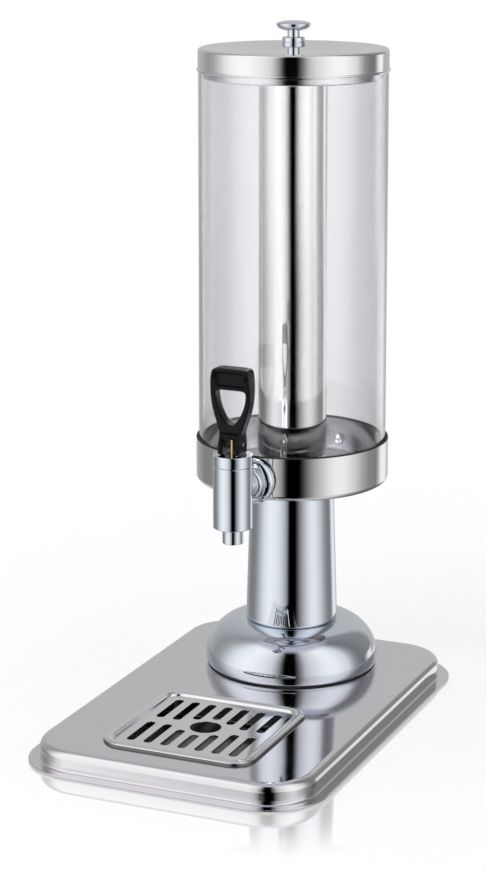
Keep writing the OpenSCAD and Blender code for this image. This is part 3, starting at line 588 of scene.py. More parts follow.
@dataclass
class Piece:
    """A finished mesh and everything the frame has to know about it.

    Attributes:
        name: Name of the object.
        bm: Its mesh in millimetres.
        finish: Its finish.
        body: Body it rides on.
        nodes: CAD nodes it stands for.
        wall: Thickness in millimetres given to an open sheet, inwards.
        sharp: Edges sharper than this many degrees stay crisp.
        grain: Run of the finish's texture where it differs.
        rounds: Levels of subdivision.
        rim: Radius in millimetres that the sheet's cut edges are softened with.
        painted_shading: Finish with painted light or shade for some faces, and the test of a face's centre
            and normal that picks them.
    """

    name: str
    bm: BMesh
    finish: Finish
    body: Body
    nodes: tuple[str, ...]
    wall: float = 0.0
    sharp: float = 32.0
    grain: Grain | None = None
    rounds: int = 0
    rim: float = 0.0
    painted_shading: tuple[Finish, Callable[[Vector, Vector], bool]] | None = None

    def build(self) -> bpy.types.Object:
        """Makes the object, dresses it and hands it to the frame.

        Returns:
            The object.
        """
        bm = self.bm
        bm.transform(Matrix.Scale(MM, 4))
        mesh = bpy.data.meshes.new(self.name)
        bm.to_mesh(mesh)
        bm.free()
        mesh.shade_smooth()
        if not self.rounds:
            mesh.set_sharp_from_angle(angle=math.radians(self.sharp))
        obj = bpy.data.objects.new(self.name, mesh)
        bpy.context.scene.collection.objects.link(obj)
        mesh.materials.append(self.finish.material("_" + self.name, self.grain))
        # Painted light and shade: picked faces take a second finish, lighter on the cup's inner faces and
        # darker in the tray's well.
        if self.painted_shading:
            finish, picks = self.painted_shading
            mesh.materials.append(finish.material("_" + self.name + "_lining"))
            for face in mesh.polygons:
                face.material_index = int(picks(face.center / MM, face.normal))
        self._modify(obj)
        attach(obj, self.body.value)
        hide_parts(*self.nodes)
        LOG.info("%s: %d faces, finish %s, on %s", self.name, len(mesh.polygons), self.finish.name,
                 self.body.value)
        return obj

    def _modify(self, obj: bpy.types.Object) -> None:
        """Gives the object its wall, its softened rim and its smooth surface.

        Args:
            obj: The object.
        """
        if self.wall:
            sheet = obj.modifiers.new("sheet", "SOLIDIFY")
            sheet.thickness = self.wall * MM
            sheet.offset = -1
            sheet.use_even_offset = True
        if self.rim:
            soft = obj.modifiers.new("rim", "BEVEL")
            soft.width = self.rim * MM
            soft.segments = 2
            soft.limit_method = "ANGLE"
            soft.angle_limit = math.radians(SOFT_ANGLE)
        if self.rounds:
            smooth = obj.modifiers.new("rounds", "SUBSURF")
            smooth.levels = smooth.render_levels = self.rounds
        else:
            obj.modifiers.new("flats", "WEIGHTED_NORMAL").keep_sharp = True


def dress(finish: Finish, *nodes: str) -> None:
    """Gives carried-over CAD nodes a finish.

    Args:
        finish: The finish.
        nodes: Names of the nodes.
    """
    material = finish.material()
    for node in nodes:
        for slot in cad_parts[node].material_slots:
            slot.material = material
        LOG.info("%s: CAD solid kept, finish %s", node, finish.name)


# Sub-assemblies


@dataclass
class Base:
    """Pressed base pan and its bosses for the feet; sizes in millimetres."""

    width: float = 250.0
    length: float = 380.0
    corner: float = 43.0
    flange: float = 10.0
    flange_top: float = 2.2
    foot: float = 1.6
    edge: float = 7.0
    sheet: float = 1.2
    opening: tuple[float, float, float] = (124.0, 126.0, 12.0)
    boss: tuple[float, float, float] = (5.0, 14.3, 18.4)
    boss_hole: float = 2.0
    boss_place: tuple[float, float] = (103.0, 168.0)

    def _at_foot(self, vert: BMVert) -> bool:
        """Tells whether a vertex lies where the walls meet the flange.

        Args:
            vert: The vertex.

        Returns:
            Whether it does.
        """
        x, y, z = vert.co
        inside = abs(x) < self.width / 2 + 1 and abs(y) < self.length / 2 + 1
        return inside and abs(z - self.flange_top) < MERGE

    def pan(self) -> BMesh:
        """Presses the pan: flange, walls, rounded top edge, and the openings in its top.

        Returns:
            The pan as an open sheet.
        """
        bm = bmesh.new()
        face = rounded_plate(bm, self.width + 2 * self.flange, self.length + 2 * self.flange,
                             self.corner + self.flange, self.flange_top, steps=16)
        face = step_in(bm, face, self.flange, 0)
        walls = step_in(bm, face, 0, BASE_TOP - self.flange_top)
        bevel(bm, [e for e in bm.edges if all(self._at_foot(v) for v in e.verts)], self.foot, 4)
        bevel(bm, walls.edges, self.edge, 10)
        border = border_of(bm, max(bm.faces, key=lambda f: f.calc_center_median().z + len(f.verts)))
        width, length, radius = self.opening
        border += border_of(bm, rounded_plate(bm, width, length, radius, BASE_TOP, TRAY_Y))
        ring = bmesh.ops.create_circle(bm, segments=32, radius=ROD_HOLE,
                                       matrix=Matrix.Translation((0, COLUMN_Y, BASE_TOP)))
        border += list({e for v in ring["verts"] for e in v.link_edges})
        bmesh.ops.triangle_fill(bm, edges=border, use_beauty=True, normal=(0, 0, 1))
        tidy(bm)
        return bm

    def bosses(self) -> BMesh:
        """Turns the four bosses that take the screws of the feet.

        Returns:
            Their mesh.
        """
        outer, low, high = self.boss
        out = Outline((self.boss_hole, low), (outer, low), (outer, high, 0.5), (self.boss_hole, high))
        bm = out.close().turn(Axis.ORIGIN, 32)
        first = geometry(bm)
        x, y = self.boss_place
        for place in ((-x, -y), (x, -y), (-x, y)):
            copy = bmesh.ops.duplicate(bm, geom=first)["geom"]
            bmesh.ops.translate(bm, verts=only(BMVert, copy), vec=(*place, 0))
        bmesh.ops.translate(bm, verts=only(BMVert, first), vec=(x, y, 0))
        return bm

    def build(self) -> None:
        """Builds the base's pieces."""
        Piece("pan", self.pan(), SATIN_STEEL, Body.STAND, ("base_pan",), wall=self.sheet,
              rim=0.4).build()
        Piece("pan_bosses", self.bosses(), SATIN_STEEL, Body.STAND, ("base_pan",)).build()


@dataclass
class DripTray:
    """Lift-out tray with a rolled rim, and its slotted grille."""

    width: float = 140.0
    length: float = 142.0
    corner: float = 20.0
    rim: float = 10.0
    rim_height: float = 3.7
    rim_steps: int = 12
    sheet: float = 1.0
    ledge: float = 4.0
    ledge_z: float = 19.2
    floor_z: float = 4.0
    bend: Path = ((0.4, 1.5), (1.1, 1.1), (1.5, 0.4))
    grille: tuple[float, float, float] = (118.4, 120.4, 9.2)
    grille_top: float = 20.4
    grille_sheet: float = 1.2
    grille_edge: float = 0.25
    slots: int = 7
    pitch: float = 15.7
    slot_width: float = 7.6
    slot_length: float = 46.0
    band: float = 12.0
    hole: float = 13.5
    ring: float = 6.0

    def tray(self) -> BMesh:
        """Presses the tray from its outer rim inwards.

        Returns:
            The tray as an open sheet.
        """
        bm = bmesh.new()
        radius = (self.rim ** 2 / 4 + self.rim_height ** 2) / (2 * self.rim_height)
        half = math.asin(self.rim / 2 / radius)
        steps = []
        for i in range(self.rim_steps):
            a, b = (-half + 2 * half * k / self.rim_steps for k in (i, i + 1))
            steps.append((radius * (math.sin(b) - math.sin(a)), radius * (math.cos(b) - math.cos(a))))
        floor = self.floor_z + sum(down for _, down in self.bend)
        steps += [(0, self.ledge_z - BASE_TOP), (self.ledge, 0), (0, floor - self.ledge_z)]
        face = rounded_plate(bm, self.width, self.length, self.corner, BASE_TOP, TRAY_Y)
        for inwards, up in (*steps, *((inwards, -down) for inwards, down in self.bend)):
            face = step_in(bm, face, inwards, up)
        tidy(bm)
        return bm

    def slot(self, bm: BMesh, x: float, near: float, far: float) -> None:
        """Draws the border of one slot.

        Args:
            bm: Drawing to add it to.
            x: Place of its middle line.
            near: End towards the grille's middle, past the round end's centre.
            far: Other end.
        """
        middle, run = (near + far) / 2, abs(far - near) + self.slot_width
        place = (Matrix.Translation((x, TRAY_Y + middle, self.grille_top))
                 @ Matrix.Diagonal((self.slot_width, run, 1, 1)))
        corners = bmesh.ops.create_grid(bm, x_segments=1, y_segments=1, size=0.5, matrix=place)["verts"]
        border_of(bm, corners[0].link_faces[0])
        bevel(bm, corners, self.slot_width * 0.49, 6, "VERTICES")

    def plate(self) -> BMesh:
        """Punches the grille: two rows of slots and a round hole.

        Returns:
            The grille's mesh.
        """
        bm = bmesh.new()
        width, length, radius = self.grille
        border_of(bm, rounded_plate(bm, width, length, radius, self.grille_top, TRAY_Y))
        keep = self.hole + self.ring + self.slot_width / 2
        far = self.band / 2 + self.slot_length - self.slot_width / 2
        for i in range(self.slots):
            x = (i - (self.slots - 1) / 2) * self.pitch
            clear = math.sqrt(max(keep ** 2 - x ** 2, 0))
            near = max(self.band / 2 + self.slot_width / 2, clear)
            for side in (-1, 1):
                self.slot(bm, x, side * near, side * far)
        bmesh.ops.create_circle(bm, segments=STEPS_TINY, radius=self.hole,
                                matrix=Matrix.Translation((0, TRAY_Y, self.grille_top)))
        filled = bmesh.ops.triangle_fill(bm, edges=bm.edges[:], use_beauty=True, normal=(0, 0, 1))["geom"]
        bmesh.ops.reverse_faces(bm, faces=[f for f in only(BMFace, filled) if f.normal.z < 0])
        bottom = bmesh.ops.extrude_face_region(bm, geom=bm.faces[:])["geom"]
        bmesh.ops.translate(bm, verts=only(BMVert, bottom), vec=(0, 0, -self.grille_sheet))
        bmesh.ops.reverse_faces(bm, faces=only(BMFace, bottom))
        tidy(bm)
        bevel(bm, [e for e in bm.edges if e.is_manifold and e.calc_face_angle() > 1.2], self.grille_edge, 2)
        return bm

    def painted_shade(self, centre: Vector, normal: Vector) -> bool:
        """Tells whether a face of the tray gets painted shade: it lies in its well or at the foot of its
        rim.

        Args:
            centre: The face's centre.
            normal: The face's normal; not used.

        Returns:
            Whether it does.
        """
        x = max(abs(centre.x) - self.width / 2 + self.corner, 0)
        y = max(abs(centre.y - TRAY_Y) - self.length / 2 + self.corner, 0)
        # Painted shade: a dark line along the foot of the rim, and a dark well under the grille.
        foot = centre.z < BASE_TOP + self.rim_height / 2 and math.hypot(x, y) > self.corner - self.rim / 4
        return foot or centre.z < self.ledge_z - 1

    def build(self) -> None:
        """Builds the tray and its grille."""
        # Painted shade: the tray's well and the foot of its rim take the dark steel in place of their own.
        Piece("tray", self.tray(), POLISHED_STEEL, Body.TRAY, ("drip_tray",), wall=self.sheet,
              rim=0.3, grain=Grain.LENGTHWISE, painted_shading=(PAINTED_SHADE_STEEL, self.painted_shade)).build()
        Piece("grille", self.plate(), POLISHED_STEEL, Body.GRILLE, ("drip_grille",),
              grain=Grain.LENGTHWISE).build()


@dataclass
class Stand:
    """Domed foot, tapered column and the gasket under them."""

    contact: float = 77.4
    bulge: float = 79.2
    low: float = 20.5
    bulge_z: float = 26.5
    roll: Path = ((78.3, 22.0), (78.85, 24.0))
    top: float = 62.0
    shoulder: float = 44.0
    wall: float = 1.5
    column_low: float = 42.0
    column_top: float = 38.0
    column_end: float = 194.0
    column_edge: float = 2.5
    inward_lip: float = 5.0
    plate: float = 3.0
    gasket_width: float = 4.0

    def dome(self) -> BMesh:
        """Spins the foot's dome.

        Returns:
            The dome as an open sheet.
        """
        stretch = (self.top - self.bulge_z) / (self.bulge - self.shoulder)
        out = Outline((self.contact, self.low), *self.roll, (self.bulge, self.bulge_z))
        out.arc(self.shoulder, self.bulge_z, 90, 28, stretch)
        return out.path((ROD_HOLE, self.top)).turn(Axis.COLUMN)

    def column(self) -> BMesh:
        """Spins the column with its rolled lower edge and closed upper end.

        Returns:
            The column's mesh.
        """
        inner = self.column_low - self.wall
        lip, plate = inner - self.inward_lip, self.column_end - self.plate
        out = Outline((lip, self.top), (self.column_low, self.top),
                      (self.column_top, self.column_end, self.column_edge, 8), (ROD_HOLE, self.column_end),
                      (ROD_HOLE, plate), (self.column_top - self.wall, plate),
                      (inner, self.top + self.column_edge), (lip, self.top + self.wall))
        return out.close().turn(Axis.COLUMN)

    def gasket(self) -> BMesh:
        """Makes the thin rubber ring under the dome.

        Returns:
            The ring's mesh.
        """
        inner = self.contact - self.gasket_width
        out = Outline((inner, BASE_TOP), (self.contact, BASE_TOP), (self.contact, self.low, 0.3, 3),
                      (inner, self.low, 0.3, 3))
        return out.close().turn(Axis.COLUMN)

    def build(self) -> None:
        """Builds the stand's pieces."""
        Piece("dome", self.dome(), CHROME, Body.STAND, ("foot_dome",), wall=self.wall).build()
        Piece("column_tube", self.column(), CHROME, Body.STAND, ("column",)).build()
        Piece("foot_ring", self.gasket(), BLACK_RUBBER, Body.STAND, ("foot_gasket",)).build()


@dataclass
class Vessel:
    """Steel cup, clear tube and ice tube, with the cup's lip and the rivet."""

    cup: float = 87.5
    cup_low: float = 194.0
    cup_top: float = 233.0
    cup_wall: float = 1.2
    cup_edge: float = 5.0
    lip_up: float = 0.9
    lip_down: float = 1.0
    lip_slant: float = 0.2
    tube: float = 85.0
    tube_wall: float = 3.0
    tube_low: float = 198.0
    tube_top: float = 567.0
    tube_edge: float = 0.4
    ice: float = 31.0
    ice_wall: float = 1.2
    ice_low: float = 196.7
    ice_top: float = 563.0
    ice_floor: float = 3.0
    ice_boss: tuple[float, float] = (10.0, 18.0)
    ice_bore: tuple[float, float] = (5.0, 14.25)
    bead: float = 1.6
    rivet_angle: float = 80.5
    rivet_head: float = 4.5
    rivet_shank: float = 2.0
    rivet_inside: Path = ((0.0, -1.9), (1.2, -1.8), (2.6, -1.4), (3.7, -0.8), (4.5, 0.0))
    rivet_outside: Path = ((4.5, 0.0), (4.2, 0.9), (3.2, 1.6), (1.6, 1.95), (0.0, 2.0))

    def cup_shell(self) -> BMesh:
        """Spins the cup.

        Returns:
            The cup's mesh.
        """
        floor = self.cup_low + self.cup_wall
        inner = self.cup - self.cup_wall
        out = Outline((ROD_HOLE, self.cup_low), (self.cup, self.cup_low),
                      (self.cup, self.cup_top, self.cup_edge, 10), (inner, self.cup_top), (inner, floor),
                      (ROD_HOLE, floor, self.cup_edge - self.cup_wall, 8))
        return out.close().turn(Axis.COLUMN)

    def painted_light_face(self, centre: Vector, normal: Vector) -> bool:
        """Tells whether a face of the cup gets painted light: its inner floor or the rear half of its inner
        wall.

        Args:
            centre: The face's centre.
            normal: The face's normal.

        Returns:
            Whether it is.
        """
        out = Vector((centre.x, centre.y - COLUMN_Y, 0))
        wall = normal.dot(out) < 0 and centre.y > COLUMN_Y - self.ice
        return out.length < self.cup - self.cup_wall / 2 and (normal.z > 0.5 or wall)

    def lip(self) -> BMesh:
        """Makes the rubber lip on the cup's edge.

        Returns:
            The lip's mesh.
        """
        inner = self.cup - self.cup_wall
        low, high = self.cup_top - self.lip_down, self.cup_top + self.lip_up
        out = Outline((self.tube, low), (inner, low), (inner, self.cup_top), (self.cup, self.cup_top),
                      (self.cup - self.lip_slant, high), (self.tube, high, 0.4, 4))
        return out.close().turn(Axis.COLUMN)

    def wall_tube(self) -> BMesh:
        """Makes the clear tube with softened ends.

        Returns:
            The tube's mesh.
        """
        inner = self.tube - self.tube_wall
        out = Outline((inner, self.tube_low), (self.tube, self.tube_low),
                      (self.tube, self.tube_top, self.tube_edge, 2),
                      (inner, self.tube_top, self.tube_edge, 2))
        return out.close().turn(Axis.COLUMN)

    def ice_tube(self) -> BMesh:
        """Makes the ice tube with its rolled bead, floor and boss.

        Returns:
            The ice tube's mesh.
        """
        inner = self.ice - self.ice_wall
        bead_z = self.ice_top - self.bead
        floor = self.ice_low + self.ice_floor
        (boss, boss_up), (bore, bore_up) = self.ice_boss, self.ice_bore
        boss_top, bore_top = self.ice_low + boss_up, self.ice_low + bore_up
        out = Outline((bore, self.ice_low), (self.ice, self.ice_low), (self.ice, bead_z - self.bead, 1.2, 4),
                      (self.ice + 2 * self.bead - self.ice_wall, bead_z))
        out.arc(inner + self.bead, bead_z, 180, 12)
        out.path((inner, floor), (boss, floor, 1.0, 4), (boss, boss_top), (0, boss_top, 1.0, 3),
                 (0, bore_top), (bore, bore_top))
        return out.close().turn(Axis.COLUMN)

    def rivet(self) -> BMesh:
        """Makes the round-headed rivet through tube and cup.

        Returns:
            The rivet's mesh.
        """
        inner = self.tube - self.tube_wall
        seat = math.sqrt(inner ** 2 - self.rivet_head ** 2)
        inside = [(r, seat + z) for r, z in self.rivet_inside]
        outside = [(r, self.cup + z) for r, z in self.rivet_outside]
        out = Outline(*inside, (self.rivet_shank, seat), (self.rivet_shank, self.cup), *outside)
        bm = out.turn(Axis.ORIGIN, STEPS_TINY)
        turn = (Matrix.Translation((0, COLUMN_Y, SHANK_Z))
                @ Matrix.Rotation(math.radians(self.rivet_angle), 4, "Z")
                @ Matrix.Rotation(math.pi / 2, 4, "Y"))
        bmesh.ops.transform(bm, matrix=turn, verts=bm.verts)
        return bm

    def build(self) -> None:
        """Builds the vessel's pieces."""
        # Painted light: the cup's inner floor and rear inner wall take a rougher, brighter steel than the
        # rest of the cup.
        Piece("cup_shell", self.cup_shell(), POLISHED_STEEL, Body.STAND, ("cup",),
              painted_shading=(DULL_PAINTED_LIGHT_STEEL, self.painted_light_face)).build()
        Piece("cup_lip", self.lip(), BLACK_RUBBER, Body.STAND, ("cup_lip_seal",)).build()
        Piece("tube_wall", self.wall_tube(), CLEAR_PLASTIC, Body.STAND, ("clear_tube",)).build()
        Piece("ice_cylinder", self.ice_tube(), BRIGHT_STEEL, Body.STAND, ("ice_tube",)).build()
        Piece("rivet", self.rivet(), POLISHED_STEEL, Body.STAND, ("rear_rivet",), grain=Grain.CLOUDY).build()


@dataclass
class Lid:
    """Lift-off lid with its plug ring and knob."""

    low: float = 567.0
    top: float = 587.5
    skirt: float = 85.5
    bead: Path = ((0.0, 0.0), (0.7, 0.35), (1.0, 1.2), (0.7, 2.05), (0.0, 2.4))
    edge: float = 3.0
    sheet: float = 1.0
    rim: float = 78.0
    dish: float = 583.5
    flat: float = 30.0
    hole: float = 2.0
    plug: float = 81.0
    plug_low: float = 560.5
    plug_lip: float = 4.0
    knob_neck: Path = (
        (2, 583.5), (5.5, 583.5), (5.5, 588), (10.4, 588, 0.5, 3), (10.4, 592.2, 1.2, 5),
        (9.7, 592.5, 0.3, 2), (10.1, 592.8), (10.1, 597, 0.3, 2), (5.5, 597, 1.2, 5), (5.5, 602.8, 0.5, 3))
    knob_under: tuple[float, float, float] = (5.5, 608.3, 5.5 / 9.8)
    knob_top: Path = (
        (15.3, 609.0), (14.6, 609.6, 0.5, 3), (12.0, 610.4), (9, 610.97), (5, 611.38), (0, 611.5),
        (0, 597), (2, 597))

    def shell(self) -> BMesh:
        """Spins the lid's shell.

        Returns:
            The shell's mesh.
        """
        inner, under = self.skirt - self.sheet, self.top - self.sheet
        out = Outline((self.plug, self.low), *((self.skirt + r, self.low + z) for r, z in self.bead))
        out.path((self.skirt, self.top), (self.rim, self.top, self.edge, 8), (self.flat, self.dish, 1.5, 4),
                 (self.hole, self.dish, 4, 4), (self.hole, self.dish - self.sheet),
                 (self.flat, self.dish - self.sheet), (self.rim, under), (inner, under),
                 (inner, self.low + self.sheet, self.edge - self.sheet, 5),
                 (self.plug, self.low + self.sheet))
        return out.close().turn(Axis.COLUMN)

    def plug_ring(self) -> BMesh:
        """Spins the ring that reaches into the tube.

        Returns:
            The ring's mesh.
        """
        inner, high = self.plug - self.sheet, self.top - self.sheet
        lip, floor = self.plug - self.plug_lip, self.plug_low + self.sheet
        out = Outline((lip, self.plug_low), (self.plug, self.plug_low), (self.plug, high, 1.5, 5),
                      (inner, high), (inner, floor), (lip, floor))
        return out.close().turn(Axis.COLUMN)

    def knob(self) -> BMesh:
        """Turns the mushroom knob with its round collar.

        Returns:
            The knob's mesh.
        """
        r, z, stretch = self.knob_under
        out = Outline(*self.knob_neck).arc(r, z, 90, 14, stretch).path(*self.knob_top)
        return out.close().turn(Axis.COLUMN, STEPS_SMALL)

    def build(self) -> None:
        """Builds the lid's pieces."""
        Piece("lid_cap", self.shell(), POLISHED_STEEL, Body.LID, ("lid_shell",)).build()
        Piece("lid_ring", self.plug_ring(), POLISHED_STEEL, Body.LID, ("lid_plug",)).build()
        Piece("lid_knob", self.knob(), CHROME, Body.LID, ("knob",)).build()


@dataclass
class Tap:
    """Lever tap: barrel, bonnet, shank parts, brass stem and closing spring."""

    barrel: float = 17.2
    low: float = 182.0
    top: float = 237.0
    edge: float = 0.8
    nozzle: float = 9.15
    nozzle_low: float = 168.0
    bore: float = 6.0
    bore_edge: float = 0.5
    seat: float = 188.0
    chamber: float = 13.5
    socket: float = 11.0
    socket_end: float = -4.8
    neck: float = 8.0
    neck_depth: float = 8.0
    duct: float = 5.5
    cap_top: float = 247.4
    cap_depth: float = 8.0
    guide: float = 3.06
    seal_room: tuple[float, float] = (5.5, 243.7)
    spring_room: float = 8.5
    ring_bend: float = 10.3
    ring_end: float = 3.2
    rosette_flat: float = 12.2
    rosette_rim: float = 20.5
    rosette_edge: float = 8.9
    rosette_end: float = 10.5
    rod: Path = ((0, 192), (5, 192), (5, 196), (3, 196), (3, 203), (7.6, 203), (7.6, 205, 0.3, 2),
                 (3, 205, 0.3, 2), (3, 261.2), (0, 261.2, 1.5, 5))
    collar: float = 205.0
    pocket: float = 241.2
    coil: float = 6.2
    wire: float = 0.8
    coil_turns: int = 7
    coil_steps: int = 32
    lift: float = 3.0

    def body(self) -> BMesh:
        """Turns the barrel with its nozzle and the socket behind it.

        Returns:
            The mesh of barrel and socket.
        """
        out = Outline((self.bore, self.nozzle_low + self.bore_edge),
                      (self.bore + self.bore_edge, self.nozzle_low), (self.nozzle, self.nozzle_low),
                      (self.nozzle, self.low, 0.7, 4), (self.barrel, self.low, 0.6, 4),
                      (self.barrel, self.top, self.edge, 5), (self.chamber, self.top, self.edge, 5),
                      (self.chamber, self.seat), (self.bore, self.seat))
        start = TAP_Y + self.chamber + 0.6
        floor = self.socket_end - self.neck_depth
        pipe = Outline((self.duct, start), (self.socket, start), (self.socket, self.socket_end),
                       (self.neck, self.socket_end, 0.6, 4), (self.neck, floor), (self.duct, floor))
        return merged([out.close().turn(Axis.TAP, STEPS_SMALL), pipe.close().turn(Axis.SHANK, STEPS_SMALL)])

    def bonnet(self) -> BMesh:
        """Turns the cap that closes the barrel.

        Returns:
            The cap's mesh.
        """
        low, (seal, seal_top) = self.top - self.cap_depth, self.seal_room
        out = Outline((self.spring_room, low), (self.chamber, low), (self.chamber, self.top),
                      (self.barrel, self.top), (self.barrel, self.cap_top, self.edge, 5),
                      (self.guide, self.cap_top, self.edge, 5), (self.guide, seal_top), (seal, seal_top),
                      (seal, self.pocket), (self.spring_room, self.pocket))
        return out.close().turn(Axis.TAP, STEPS_SMALL)

    def nut(self) -> BMesh:
        """Turns the bulged ring nut behind the barrel.

        Returns:
            The nut's mesh.
        """
        out = Outline((self.neck, self.socket_end), (self.ring_bend, self.socket_end))
        out.arc(self.ring_bend, (self.socket_end + self.ring_end) / 2, 180, 14)
        return out.path((self.neck, self.ring_end)).close().turn(Axis.SHANK, STEPS_SMALL)

    def rosette(self) -> BMesh:
        """Turns the domed disc against the cup.

        Returns:
            The disc's mesh.
        """
        stretch = (self.rosette_edge - self.ring_end) / (self.rosette_rim - self.rosette_flat)
        out = Outline((self.neck, self.ring_end), (self.rosette_flat, self.ring_end))
        out.arc(self.rosette_flat, self.rosette_edge, 90, 12, stretch)
        out.path((self.rosette_rim, self.rosette_end), (self.neck, self.rosette_end, 0.5, 3))
        return out.close().turn(Axis.SHANK, STEPS_SMALL)

    def spring(self) -> BMesh:
        """Winds the spring that stands between the stem's collar and the cap.

        Returns:
            The spring's mesh.
        """
        low, high = self.collar + self.wire, self.pocket - self.wire
        bm = bmesh.new()
        start = Matrix.Translation((self.coil, 0, low)) @ Matrix.Rotation(math.pi / 2, 4, "X")
        bmesh.ops.create_circle(bm, cap_ends=True, segments=10, radius=self.wire, matrix=start)
        steps = self.coil_steps * self.coil_turns
        bmesh.ops.spin(bm, geom=bm.faces[:], cent=(0, 0, 0), axis=(0, 0, 1), steps=steps,
                       dvec=(0, 0, (high - low) / steps), angle=2 * math.pi * self.coil_turns)
        bmesh.ops.translate(bm, verts=bm.verts, vec=(0, TAP_Y, 0))
        tidy(bm)
        return bm

    def build(self) -> None:
        """Builds the tap's pieces."""
        Piece("tap_barrel", self.body(), CHROME, Body.STAND, ("tap_body",)).build()
        Piece("tap_cap", self.bonnet(), CHROME, Body.STAND, ("tap_bonnet",)).build()
        Piece("shank_ring", self.nut(), CHROME, Body.STAND, ("ring_nut",)).build()
        Piece("shank_rosette", self.rosette(), CHROME, Body.STAND, ("rosette",)).build()
        Piece("inner_nut", hex_bar(22, 20.5, 27.5, 8, Axis.SHANK), PLAIN_STEEL, Body.STAND,
              ("shank_nut",)).build()
        Piece("valve_rod", Outline(*self.rod).turn(Axis.TAP, STEPS_TINY), BRASS, Body.VALVE_STEM,
              ("stem",)).build()
        spring = Piece("closing_spring", self.spring(), SPRING_STEEL, Body.VALVE_STEM,
                       ("tap_spring",)).build()
        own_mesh(spring)


@dataclass(frozen=True)
class Profile:
    """Front or rear face of the handle seen from the side; places along Y in millimetres.

    Attributes:
        fork: Place of the fork's face.
        fold: How far the face moves over the fold above the fork.
        arms: Place of the face round the finger loop.
        swell: How far the face moves where the grip begins.
        swell_height: Height over which it does.
    """

    fork: float
    fold: float
    arms: float
    swell: float
    swell_height: float


